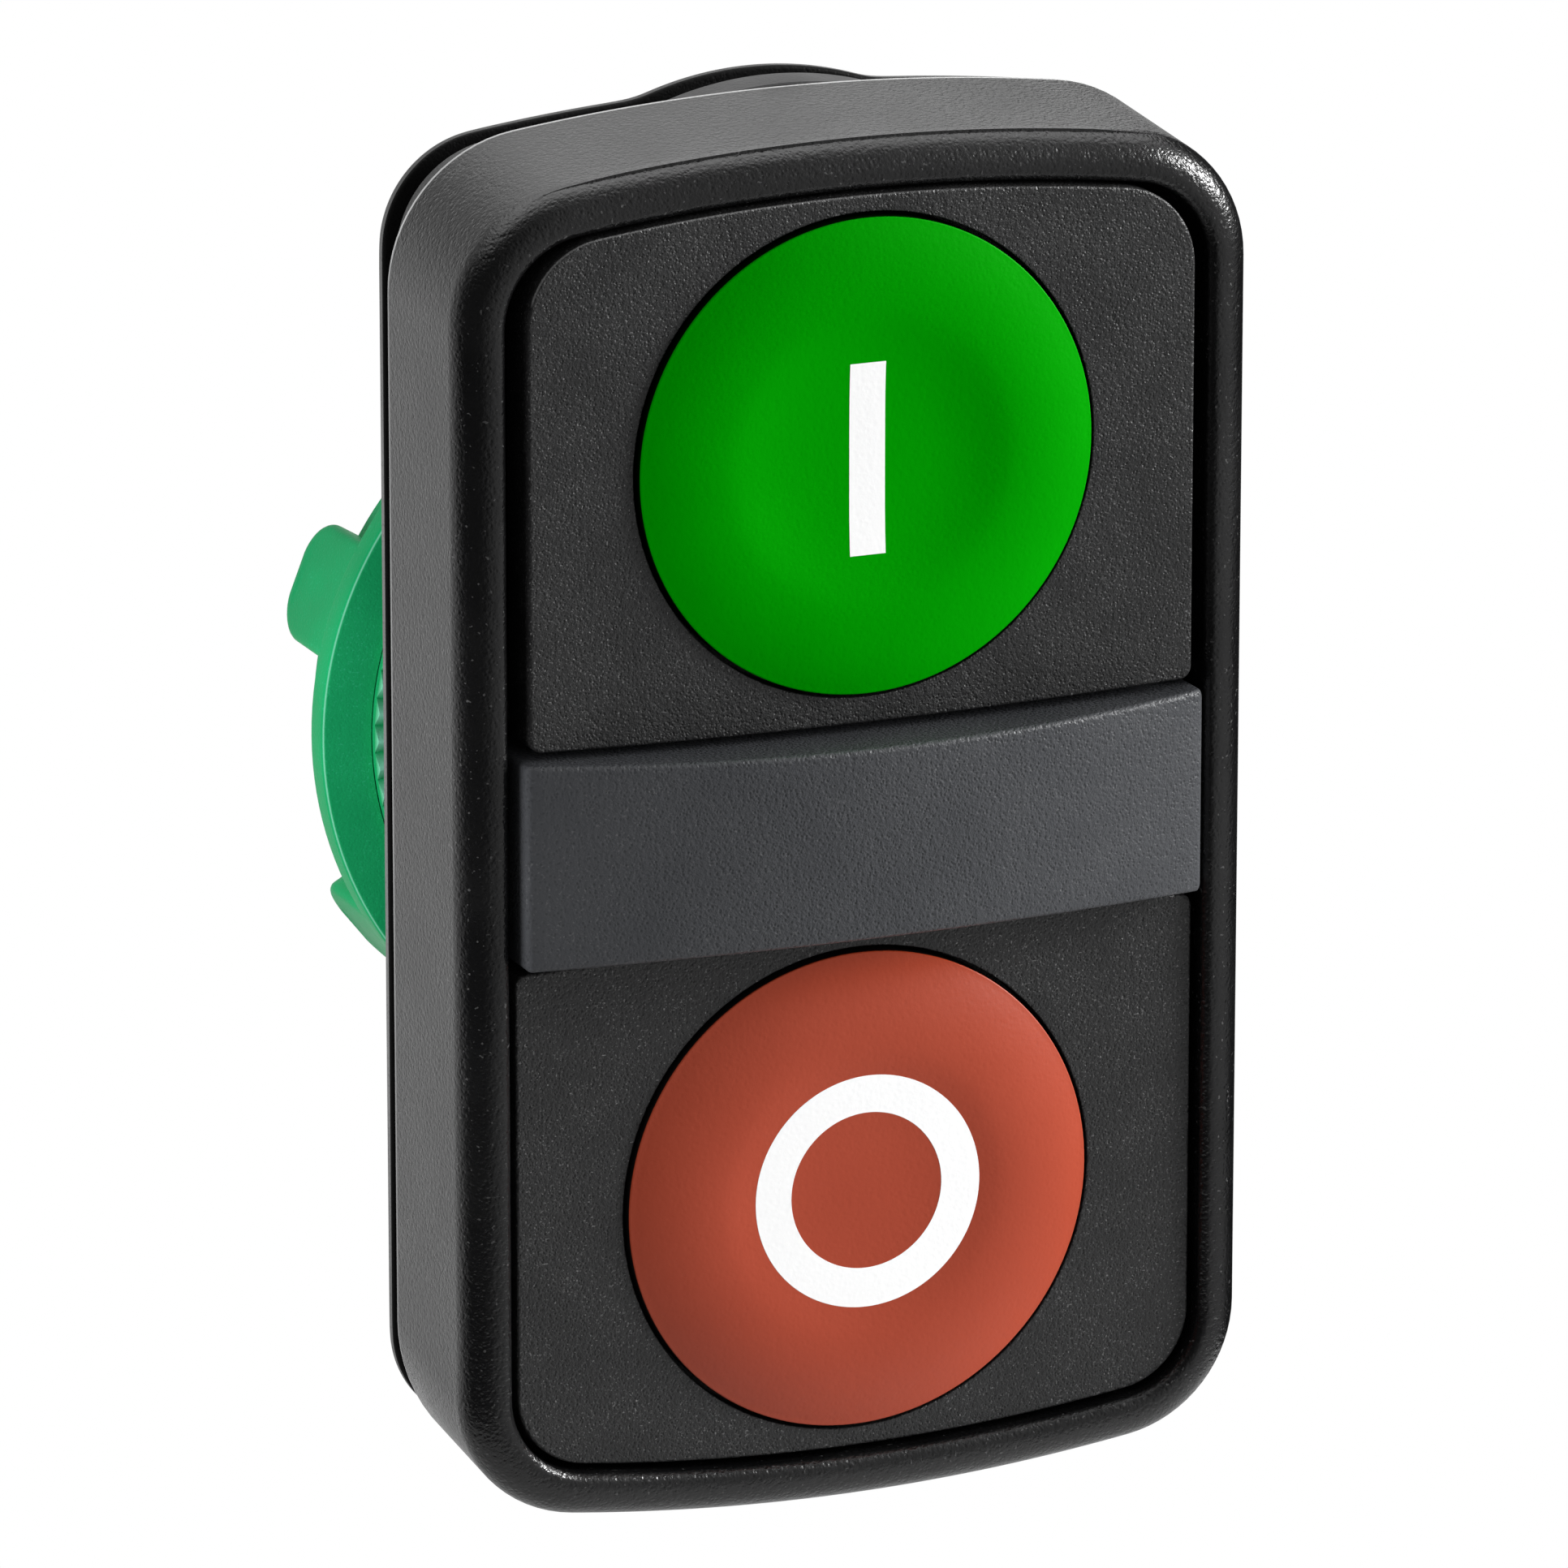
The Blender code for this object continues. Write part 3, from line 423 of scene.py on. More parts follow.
plate_charcoal = finish(
    "charcoal button plate", (0.010, 0.010, 0.0103), (0.013, 0.013, 0.0133), 0.15, 0.42, (0.38, 0.44),
    painted_glint=(0.09, 0.09, 0.09), dust=(0.12, 0.12, 0.12), painted_light=(0.12, 0.12, 0.12), patch=2.5, pit_shading=0.9,
)
strip_grey = finish(
    "bluish grey strip", (0.046, 0.048, 0.0525), (0.051, 0.053, 0.0575), 0.17, 0.36, (0.40, 0.46),
    painted_glint=(0.09, 0.092, 0.096), Specular_IOR_Level=0.35,
)
cap_green = finish(
    "green cap", (0.0, 0.265, 0.0), (0.0, 0.28, 0.0), 0.25, 0.05, (0.45, 0.5), patch=7.0, pit_shading=0.0,
    painted_light=(0.0, 0.004, 0.0), Specular_IOR_Level=0.1, Specular_Tint=(0.0, 1.0, 0.0, 1.0),
)
cap_red = finish(
    "red cap", (0.345, 0.042, 0.013), (0.365, 0.046, 0.015), 0.25, 0.05, (0.48, 0.53),
    patch=7.0, pit_shading=0.0, painted_light=(0.004, 0.003, 0.003), Specular_IOR_Level=0.5,
)
mark_white = finish(
    "white mark", (0.97, 0.97, 0.97), (0.985, 0.985, 0.985), 0.3, 0.03, (0.45, 0.5), patch=6.0, pit_shading=0.0
)
nut_green = finish(
    "glass-filled green nut", (0.010, 0.35, 0.12), (0.013, 0.40, 0.14), 0.14, 0.14, (0.38, 0.48),
    painted_glint=(0.03, 0.48, 0.22), painted_light=(0.35, 0.85, 0.65), pit_shading=0.0, Specular_IOR_Level=0.06,
)
guide_grey = finish("dark grey guide", (0.022, 0.022, 0.024), (0.03, 0.03, 0.032), 0.25, 0.2, (0.42, 0.5))
plunger_grey = finish("pale grey plunger", (0.38, 0.38, 0.36), (0.45, 0.45, 0.43), 0.3, 0.06, (0.38, 0.46))
collar_steel = finish(
    "plated steel collar", (0.42, 0.42, 0.40), (0.52, 0.52, 0.50), 0.12, 0.1, (0.26, 0.36), Metallic=1.0
)
spring_steel = finish(
    "spring wire", (0.46, 0.46, 0.45), (0.58, 0.58, 0.56), 0.1, 0.12, (0.22, 0.34), patch=1.5, Metallic=1.0
)
print("finishes:", len(bpy.data.materials))


# %% [markdown]
# ## Dressing a piece
# Every finished mesh goes through one small function: it stands the drawing up, smooths it with crisp
# edges left crisp, gives it its finish, hangs it on the body that carries it and hides the solid it
# stands for. Keeping this in one place means that no piece can be left behind when a button is pressed.

# %% From drawing to piece
def dress(name, mesh, material, body, slot, *solids, crisp=32.0):
    mesh.transform(STAND_UP)
    mesh.materials.clear()
    mesh.materials.append(material)
    mesh.shade_smooth()
    mesh.set_sharp_from_angle(angle=math.radians(crisp))
    obj = bpy.data.objects.new(name, mesh)
    bpy.context.scene.collection.objects.link(obj)
    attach(obj, body)
    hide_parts(*solids)
    mesh.calc_loop_triangles()
    print(f"{name}: {len(mesh.loop_triangles)} triangles on {body}")
    return obj


# %% [markdown]
# ## Housing
# The housing is one moulding: walls that lean in a little so that it leaves the mould, a rolled rim at
# the front, a small lip where the buttons sit, and a low step along the top where the two halves of the
# mould met. It could be a box with bevels, but the bowed ends and the changing draft are easier to draw
# as rows of points that are skinned one after the other, from the back edge round the rim to the
# inside.

# %% Housing frame
RIM_ROLL = 1.3 * MM
RIM_LIP = 0.4 * MM
REAR_ROUND = 0.08 * MM
STEP_TURN = math.radians(21.0)
ROLL_STEPS = 18
LIP_STEPS = 10


def wall_row(z, inset=0.0):
    """The outer wall at a height, spread by the draft that is left there."""
    share = (HOUSING_FRONT - RIM_ROLL - z) / (HOUSING_FRONT - RIM_ROLL - HOUSING_BACK)
    return at_height(housing_outline(inset, share), z)


def roll_row(turn):
    inset = RIM_ROLL * (1 - math.cos(turn))
    return at_height(housing_outline(inset), HOUSING_FRONT - RIM_ROLL * (1 - math.sin(turn)))


def stepped_row(turn):
    """The roll behind the step: level with the wall along the top, dying out round the corners."""
    row = []
    for (x, y, z), (wall_x, wall_y) in zip(roll_row(turn), housing_outline(0.0)):
        share = min(1.0, max(0.0, (12.0 * MM - abs(wall_x)) / (3.0 * MM))) if wall_y > 0 else 0.0
        row.append((x + share * (wall_x - x), y + share * (wall_y - y), z))
    return row


rows = []
for i in range(5):
    turn = math.pi / 2 * i / 4
    inset = REAR_ROUND * (1 - math.sin(turn))
    rows.append(wall_row(HOUSING_BACK + REAR_ROUND * (1 - math.cos(turn)), inset))
rows += [wall_row(HOUSING_BACK + 2 * REAR_ROUND), wall_row(HOUSING_BACK + 2.5 * REAR_ROUND)]
rows += [stepped_row(STEP_TURN * i / 6) for i in range(7)]
for i in range(ROLL_STEPS + 1):
    rows.append(roll_row(STEP_TURN + (math.pi / 2 - STEP_TURN) * (i + 0.1) / (ROLL_STEPS + 0.1)))
for i in range(1, LIP_STEPS + 1):
    turn = math.pi / 2 * i / LIP_STEPS
    inset = RIM_WIDTH - RIM_LIP * (1 - math.sin(turn))
    rows.append(at_height(housing_outline(inset), HOUSING_FRONT - RIM_LIP * (1 - math.cos(turn))))
rows.append(at_height(housing_outline(RIM_WIDTH), HOUSING_FRONT - 2 * RIM_LIP))
rows.append(at_height(housing_outline(RIM_WIDTH), HOUSING_BACK))


def painted_edge_highlight(point):
    """The rear edge takes a painted highlight, most of all at the top."""
    return 0.15 + 0.85 * min(1.0, max(0.0, (point.y - 19.0 * MM) / (3.0 * MM)))


# The rear edge rows take a painted highlight, pale along the top.
frame_mesh = skin("housing_frame", rows, ring=True, painted_rows=dict.fromkeys(range(6), painted_edge_highlight))
dress("housing_frame", frame_mesh, housing_black, "housing", "housing_black", "front_housing")

# %% [markdown]
# ## Button plates
# Each button is a flat plate with one bowed end, a gently curved inner edge that follows the strip,
# softly rounded edges and a round seat for its cap. A plate with a hole is awkward to skin unless both
# edges have the same number of points, so each point of the outline is joined to the point of the hole
# that lies in the same direction from the middle of the cap. The face stays perfectly flat and both
# edges can be rounded.

# %% Plates
BUTTON_CENTRE = 13.5 * MM
OPENING_HALF_WIDTH = HOUSING_HALF_WIDTH - RIM_WIDTH
PLATE_THICKNESS = 2.0 * MM
PLATE_EDGE = 3.83 * MM
PLATE_EDGE_BOW = 12.9**2 / (2 * 0.27) * MM
PLATE_INNER_CORNER = 0.45 * MM
PLATE_ROUND = 0.1 * MM
START_CAP_RADIUS = 8.55 * MM
STOP_CAP_RADIUS = 8.79 * MM
CAP_GAP = 0.16 * MM
CAP_SEAT = 1.2 * MM
BOSS_HOLE = 2.35 * MM
START_FRONT = -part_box("start_plate")[0].y
STOP_FRONT = -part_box("stop_plate")[0].y


def plate_outline(side, side_gap, end_gap):
    half_width = OPENING_HALF_WIDTH - side_gap
    inset = RIM_WIDTH + end_gap
    end = HOUSING_TOP if side > 0 else -HOUSING_BOTTOM
    points = bowed_end(half_width, end - inset, HOUSING_BOW - inset, HOUSING_CORNER - inset)
    inner = bowed_end(half_width, PLATE_EDGE, PLATE_EDGE_BOW, PLATE_INNER_CORNER)
    points += [(-x, 2 * PLATE_EDGE - y) for x, y in inner]
    return filled_in([(side * x, side * y) for x, y in points], 0.45 * MM)


def make_plate(name, side, front, cap_radius, side_gap, end_gap):
    outline = plate_outline(side, side_gap, end_gap)
    centre = Vector((0.0, side * BUTTON_CENTRE))
    back = front - PLATE_THICKNESS

    def hole(radius, z):
        spokes = [(Vector(point) - centre).normalized() for point in outline]
        return [(*(centre + radius * spoke), z) for spoke in spokes]

    rows = [at_height(outline, back)]
    for i in range(5):
        turn = math.pi / 2 * i / 4
        edge = drawn_in(outline, PLATE_ROUND * (1 - math.cos(turn)))
        rows.append(at_height(edge, front - PLATE_ROUND * (1 - math.sin(turn))))
    rows.append(at_height(drawn_in(outline, 1.5 * PLATE_ROUND), front))
    radius = cap_radius + CAP_GAP
    rows.append(hole(radius + PLATE_ROUND, front))
    for i in range(5):
        turn = math.pi / 2 * i / 4
        edge = radius + PLATE_ROUND / 2 * (1 - math.sin(turn))
        rows.append(hole(edge, front - PLATE_ROUND / 2 * (1 - math.cos(turn))))
    seat = front - CAP_SEAT
    rows += [hole(radius, seat), hole(BOSS_HOLE, seat), hole(BOSS_HOLE, back)]

    # A painted highlight on the rounded front edge along the top, strongest at the left.
    def painted_top_highlight(point):
        return min(1.0, max(0.0, (4.0 * MM - point.x) / (6.0 * MM))) if point.y > 20.0 * MM else 0.0

    mesh = skin(f"{name}_plate_face", rows, ring=True, painted_rows={2: painted_top_highlight, 3: painted_top_highlight})
    dress(f"{name}_plate_face", mesh, plate_charcoal, f"{name}_button", "plate_charcoal", f"{name}_plate")


make_plate("start", 1, START_FRONT, START_CAP_RADIUS, 0.67 * MM, 0.12 * MM)
make_plate("stop", -1, STOP_FRONT, STOP_CAP_RADIUS, 0.29 * MM, 0.27 * MM)

# %% [markdown]
# ## Caps and their marks
# The caps are dished so that a fingertip finds them: a soft shoulder rises to a round crest and the
# middle sinks again. A turned half section gives that exactly. The white bar and the white ring are a
# second shot of plastic, level with the dish, so each one is cut from a copy of the cap's own skin,
# raised by a hair, and the cap gets a pocket of the same shape. The ring sits a little right of the
# middle of its cap, as in the photo.

# %% Caps
START_CAP_STAND = 0.2 * MM
STOP_CAP_STAND = 0.15 * MM
CREST_RADIUS = 5.5 * MM
START_CREST_RISE = 0.46 * MM
STOP_CREST_RISE = 0.62 * MM
DISH_DEPTH = 0.27 * MM
CAP_ROUND = 0.06 * MM
BOSS_RADIUS = 2.2 * MM
MARK_DEPTH = 0.4 * MM
MARK_PROUD = 0.006 * MM
BAR_CENTRE = -0.1 * MM
RING_CENTRE = (0.14 * MM, 0.07 * MM)
CAP_STEPS = 160


def cap_height(radius, cap_radius, rise):
    if radius < CREST_RADIUS:
        return rise - DISH_DEPTH * (1 - (radius / CREST_RADIUS) ** 4) ** 2
    fall = (radius - CREST_RADIUS) / (cap_radius - CREST_RADIUS)
    return rise * (1 - fall * fall)


def cap_skin(edge, cap_radius, rise, lift=0.0, steps=44):
    """The dished front from the middle to the rounded edge."""
    inner = cap_radius - CAP_ROUND
    radii = [inner * i / steps for i in range(steps + 1)]
    points = [(radius, edge + lift + cap_height(radius, cap_radius, rise)) for radius in radii]
    middle = points[-1][1] - CAP_ROUND
    turns = [math.pi / 2 * (1 - i / 4) for i in range(1, 5)]
    round_edge = [(inner + CAP_ROUND * math.cos(t), middle + CAP_ROUND * math.sin(t)) for t in turns]
    return points + round_edge


def bar_mark(z0, z1):
    half_width, half_height = 0.675 * MM, 3.45 * MM
    left, right = BAR_CENTRE - half_width, BAR_CENTRE + half_width
    return block("bar", (left, -half_height, z0), (right, half_height, z1))


def ring_mark(z0, z1):
    outer, inner = 4.305 * MM, 2.89 * MM
    section = [(inner, z1), (outer, z1), (outer, z0), (inner, z0)]
    return turned("ring", section, CAP_STEPS, RING_CENTRE, ring=True)


def level_face(mesh):
    """The face of a mark is polished level, so it shines evenly where the dish slopes."""
    shine = [polygon.normal for polygon in mesh.polygons for _ in polygon.loop_indices]
    mesh.normals_split_custom_set([(0.0, -1.0, 0.0) if normal.y < -0.9 else normal for normal in shine])


def make_cap(name, middle, front, stand, cap_radius, rise, mark, colour, slot):
    edge = front + stand
    seat = front - CAP_SEAT + 0.1 * MM
    back = front - PLATE_THICKNESS
    tail = [(cap_radius, seat), (BOSS_RADIUS, seat), (BOSS_RADIUS, back), (0.0, back)]
    floor = edge + rise - DISH_DEPTH - MARK_DEPTH
    skin_points = cap_skin(edge, cap_radius, rise)
    side = len(skin_points)
    # The side wall under the rounded edge takes painted shade, black in the gap round the cap.
    whole = turned(f"{name}_dished_cap", skin_points + tail, CAP_STEPS, painted_rows={side - 1: 1.0, side: 1.0})
    cap = cut(whole, mark(floor, front + PLATE_THICKNESS))
    lifted = turned("lifted", cap_skin(edge, cap_radius, rise, MARK_PROUD) + tail, CAP_STEPS)
    inlay = cut(lifted, mark(floor, front + PLATE_THICKNESS), operation="INTERSECT")
    for mesh in (cap, inlay):
        mesh.transform(Matrix.Translation((0.0, middle, 0.0)))
    dress(f"{name}_dished_cap", cap, colour, f"{name}_button", slot, f"{name}_cap")
    inlaid = dress(f"{name}_inlaid_mark", inlay, mark_white, f"{name}_button", "mark_white", f"{name}_mark")
    level_face(inlaid.data)


start_cap = (BUTTON_CENTRE, START_FRONT, START_CAP_STAND, START_CAP_RADIUS, START_CREST_RISE)
make_cap("start", *start_cap, bar_mark, cap_green, "cap_green")
stop_cap = (-BUTTON_CENTRE, STOP_FRONT, STOP_CAP_STAND, STOP_CAP_RADIUS, STOP_CREST_RISE)
make_cap("stop", *stop_cap, ring_mark, cap_red, "cap_red")

# %% [markdown]
# ## Centre strip
# The grey strip between the buttons is a cover that bows forwards in the middle and is slightly
# waisted. It could be bent from a flat bar, but its height and its depth change together along the
# width, so it is skinned from upright sections, each with its own rounded edges, and then hollowed from
# behind for the bar that carries it.

# %% Strip cover
STRIP_HALF_WIDTH = 12.9 * MM
STRIP_HALF_HEIGHT = 3.75 * MM
STRIP_WAIST = 0.27 * MM
STRIP_ENDS = HOUSING_FRONT + 0.54 * MM
STRIP_BULGE = 1.7 * MM
STRIP_BACK = STRIP_ENDS - 4.1 * MM
STRIP_WALL = 1.2 * MM
STRIP_ROUND = 0.22 * MM
STRIP_SECTIONS = 60


def strip_section(x, inset):
    """An upright section of the strip, anticlockwise in (y, z), drawn in by inset near the ends."""
    share = x / STRIP_HALF_WIDTH
    half = STRIP_HALF_HEIGHT - STRIP_WAIST * (1 - share * share) - inset
    front = STRIP_ENDS + STRIP_BULGE * (1 - share * share) - inset
    inner = STRIP_ROUND
    upper = arc((half - inner, front - inner), inner, 0.0, math.pi / 2, 6)
    lower = arc((inner - half, front - inner), inner, math.pi / 2, math.pi, 6)
    across = [(half * (1 - 2 * i / 12), front) for i in range(2, 11)]
    return [(x, y, z) for y, z in [(half, STRIP_BACK)] + upper + across + lower + [(-half, STRIP_BACK)]]


def strip_stations():
    """Places along the width with how far the section is drawn in there, so that both ends are rounded."""
    straight = STRIP_HALF_WIDTH - STRIP_ROUND
    left = []
    for i in range(7):
        turn = math.pi / 2 * i / 6
        left.append((-straight - STRIP_ROUND * math.cos(turn), STRIP_ROUND * (1 - math.sin(turn))))
    middle = [(-straight + 2 * straight * i / STRIP_SECTIONS, 0.0) for i in range(1, STRIP_SECTIONS)]
    return left + middle + [(-x, inset) for x, inset in reversed(left)]


strip = skin("strip_cover", [strip_section(x, inset) for x, inset in strip_stations()])
inside_x = STRIP_HALF_WIDTH - STRIP_WALL
inside_y = STRIP_HALF_HEIGHT - STRIP_WAIST - STRIP_WALL
hollow = block("hollow", (-inside_x, -inside_y, 0.0), (inside_x, inside_y, STRIP_ENDS - STRIP_WALL))
dress("strip_cover", cut(strip, hollow), strip_grey, "housing", "strip_grey", "centre_strip")

# %% [markdown]
# ## Geometry Nodes for what repeats or winds
# The nut's lugs, the ring's teeth and the guide's ribs are one shape repeated round the barrel. The
# thread and the springs are one section carried along a helix, and the seal's beads follow a path.
# Geometry Nodes are made for this: a short tree with named sizes does it once, and the same tree serves
# several pieces. Each result is turned into a plain mesh at once, so that nothing live is left on the
# piece.

# %% Trees
def geometry_tree(name, inputs):
    tree = bpy.data.node_groups.new(name, "GeometryNodeTree")
    for label, kind in inputs:
        tree.interface.new_socket(label, in_out="INPUT", socket_type=kind)
    tree.interface.new_socket("Finish", in_out="INPUT", socket_type="NodeSocketMaterial")
    tree.interface.new_socket("Geometry", in_out="OUTPUT", socket_type="NodeSocketGeometry")
    return tree, tree.nodes.new("NodeGroupInput").outputs


def node(tree, kind, links=(), mode=None, **values):
    made = tree.nodes.new(kind)
    if mode:
        made.mode = mode
    for label, value in values.items():
        made.inputs[label.replace("_", " ")].default_value = value
    for label, source in dict(links).items():
        tree.links.new(source, made.inputs[label])
    return made


def end_tree(tree, geometry, finish_socket):
    """Realize Instances, Set Material and the way out."""
    realised = node(tree, "GeometryNodeRealizeInstances", {"Geometry": geometry})
    painted = node(
        tree,
        "GeometryNodeSetMaterial",
        {"Geometry": realised.outputs["Geometry"], "Material": finish_socket},
    )
    tree.links.new(painted.outputs["Geometry"], tree.nodes.new("NodeGroupOutput").inputs["Geometry"])


def grown(tree, mesh=None, **values):
    """The plain mesh that a tree makes with these sizes."""
    obj = bpy.data.objects.new(tree.name, mesh or bpy.data.meshes.new(tree.name))
    modifier = obj.modifiers.new(tree.name, "NODES")
    modifier.node_group = tree
    for item in tree.interface.items_tree:
        label = item.name.replace(" ", "_")
        if item.in_out == "INPUT" and label in values:
            modifier[item.identifier] = values[label]
    return settled(obj)


# %% Copies round the barrel
copies, taken = geometry_tree(
    "copies round the barrel",
    [("Piece", "NodeSocketObject"), ("Count", "NodeSocketInt"), ("First Angle", "NodeSocketFloat")],
)
step = math_node(copies, "DIVIDE", math.tau, taken["Count"])
index = node(copies, "GeometryNodeInputIndex").outputs["Index"]
angle = math_node(copies, "MULTIPLY_ADD", index, step, taken["First Angle"])
turn_by = node(copies, "FunctionNodeAxisAngleToRotation", {"Angle": angle}, Axis=(0.0, 0.0, 1.0))
shape = node(copies, "GeometryNodeObjectInfo", {"Object": taken["Piece"]})
points = node(copies, "GeometryNodePoints", {"Count": taken["Count"]})
placed = node(
    copies,
    "GeometryNodeInstanceOnPoints",
    {
        "Points": points.outputs["Points"],
        "Instance": shape.outputs["Geometry"],
        "Rotation": turn_by.outputs["Rotation"],
    },
)
end_tree(copies, placed.outputs["Instances"], taken["Finish"])


def copied(mesh, count, first_degrees, material):
    source = bpy.data.objects.new(mesh.name, mesh)
    bpy.context.scene.collection.objects.link(source)
    first = math.radians(first_degrees)
    result = grown(copies, Piece=source, Count=count, First_Angle=first, Finish=material)
    bpy.data.objects.remove(source)
    return result


print("tree:", copies.name)

# %% Section along a helix
helix_sizes = [("Radius", "NodeSocketFloat"), ("Turns", "NodeSocketFloat"), ("Height", "NodeSocketFloat")]
thread, taken = geometry_tree(
    "screw thread",
    helix_sizes
    + [("Depth", "NodeSocketFloat"), ("Root Width", "NodeSocketFloat"), ("Crest Width", "NodeSocketFloat")]
    + [("Lean", "NodeSocketFloat")],
)


def helix(tree, taken, per_turn):
    spiral = node(
        tree,
        "GeometryNodeCurveSpiral",
        {
            "Rotations": taken["Turns"],
            "Start Radius": taken["Radius"],
            "End Radius": taken["Radius"],
            "Height": taken["Height"],
        },
        Resolution=per_turn,
        Reverse=True,
    )
    upright = node(tree, "GeometryNodeSetCurveNormal", {"Curve": spiral.outputs["Curve"]}, mode="Z_UP")
    return upright.outputs["Curve"]


ridge = node(
    thread,
    "GeometryNodeCurvePrimitiveQuadrilateral",
    {"Height": taken["Depth"], "Bottom Width": taken["Root Width"], "Top Width": taken["Crest Width"]},
    mode="TRAPEZOID",
    Offset=0.0,
)
lean = node(thread, "FunctionNodeAxisAngleToRotation", {"Angle": taken["Lean"]}, Axis=(0.0, 0.0, 1.0))
leant = node(
    thread,
    "GeometryNodeTransform",
    {"Geometry": ridge.outputs["Curve"], "Rotation": lean.outputs["Rotation"]},
)
swept = node(
    thread,
    "GeometryNodeCurveToMesh",
    {"Curve": helix(thread, taken, 96), "Profile Curve": leant.outputs["Geometry"]},
    Fill_Caps=True,
)
end_tree(thread, swept.outputs["Mesh"], taken["Finish"])

coil, taken = geometry_tree("spring coil", helix_sizes + [("Wire Radius", "NodeSocketFloat")])
wire = node(coil, "GeometryNodeCurvePrimitiveCircle", {"Radius": taken["Wire Radius"]}, Resolution=16)
swept = node(
    coil,
    "GeometryNodeCurveToMesh",
    {"Curve": helix(coil, taken, 40), "Profile Curve": wire.outputs["Curve"]},
    Fill_Caps=True,
)
end_tree(coil, swept.outputs["Mesh"], taken["Finish"])
print("trees:", thread.name, "and", coil.name)

# %% Bead along a path
bead_inputs = [("Path", "NodeSocketGeometry"), ("Bead Radius", "NodeSocketFloat")]
bead, taken = geometry_tree("bead on a path", bead_inputs)
path = node(bead, "GeometryNodeMeshToCurve", {"Mesh": taken["Path"]})
wire = node(bead, "GeometryNodeCurvePrimitiveCircle", {"Radius": taken["Bead Radius"]}, Resolution=14)
swept = node(
    bead,
    "GeometryNodeCurveToMesh",
    {"Curve": path.outputs["Curve"], "Profile Curve": wire.outputs["Curve"]},
)
end_tree(bead, swept.outputs["Mesh"], taken["Finish"])


def beaded(outline, z, radius, material):
    path = bpy.data.meshes.new("bead_path")
    count = len(outline)
    path.from_pydata(at_height(outline, z), [(i, (i + 1) % count) for i in range(count)], [])
    return grown(bead, path, Bead_Radius=radius, Finish=material)


print("tree:", bead.name)

# %% [markdown]
# ## Panel seal
# A thin rubber gasket lies between the head and the panel. It is a little smaller than the housing, has
# a round lobe at the top, and two soft beads on its rear face that press into the panel. Each point of
# its edge is joined to the point of the barrel hole in the same direction, as on the plates, and the
# beads are carried along their paths by the bead tree.

# %% Seal
SEAL_THICKNESS = 0.5 * MM
SEAL_HALF_WIDTH = 14.1 * MM
SEAL_TOP = 24.59 * MM
SEAL_BOTTOM = -24.59 * MM
SEAL_CORNER = 3.95 * MM
SEAL_ROUND = 0.12 * MM
SEAL_HOLE = 11.15 * MM
BEAD_RADIUS = 0.22 * MM
LOBE_RADIUS = 12.63 * MM
LOBE_CENTRE = (0.0, 12.66 * MM)


def seal_outline(inset):
    bow = HOUSING_BOW - inset
    half_width = SEAL_HALF_WIDTH - inset
    top = bowed_end(half_width, SEAL_TOP - inset, bow, SEAL_CORNER - inset)
    bottom = bowed_end(half_width, -SEAL_BOTTOM - inset, bow, SEAL_CORNER - inset)
    return top + [(-x, -y) for x, y in bottom]


def lobed_outline():
    """The seal's outline with the round lobe at its upper end."""
    bow_centre = SEAL_TOP - HOUSING_BOW
    round_points = arc(LOBE_CENTRE, LOBE_RADIUS, 0.0, math.pi, 240)
    lobe = [(x, y) for x, y in round_points if math.hypot(x, y - bow_centre) > HOUSING_BOW]
    kept = [p for p in seal_outline(0.0) if p[1] < 0 or math.dist(p, LOBE_CENTRE) > LOBE_RADIUS]
    right = [p for p in kept if p[1] > 0 and p[0] > lobe[0][0]]
    return right + lobe + kept[len(right) :]


def softened(outline, rounds=6):
    """The outline with the two inner corners beside the lobe eased."""
    points = outline
    for _ in range(rounds):
        triples = zip(points[-1:] + points[:-1], points, points[1:] + points[:1])
        points = [((a[0] + 2 * b[0] + c[0]) / 4, (a[1] + 2 * b[1] + c[1]) / 4) for a, b, c in triples]
    return points


def key_notch(z0, z1):
    return block("key_notch", (-1.65 * MM, 0.0, z0), (1.65 * MM, 12.75 * MM, z1))


seal_edge = softened(filled_in(lobed_outline(), 0.35 * MM))


def hole_row(outline, radius, z):
    return [(*(radius * Vector(point).normalized()), z) for point in outline]


rows = [at_height(drawn_in(seal_edge, 2 * SEAL_ROUND), 0.0)]
for i in range(5):
    turn = math.pi / 2 * i / 4
    edge = drawn_in(seal_edge, SEAL_ROUND * (1 - math.sin(turn)))
    rows.append(at_height(edge, SEAL_ROUND * (1 - math.cos(turn))))
rows.append(at_height(seal_edge, 0.36 * MM))
for i in range(5):
    turn = math.pi / 2 * i / 4
    edge = drawn_in(seal_edge, SEAL_ROUND * (1 - math.cos(turn)))
    rows.append(at_height(edge, SEAL_THICKNESS - SEAL_ROUND * (1 - math.sin(turn))))
rows += [at_height(drawn_in(seal_edge, 2 * SEAL_ROUND), SEAL_THICKNESS)]
rows += [hole_row(seal_edge, SEAL_HOLE, SEAL_THICKNESS), hole_row(seal_edge, SEAL_HOLE, 0.0)]
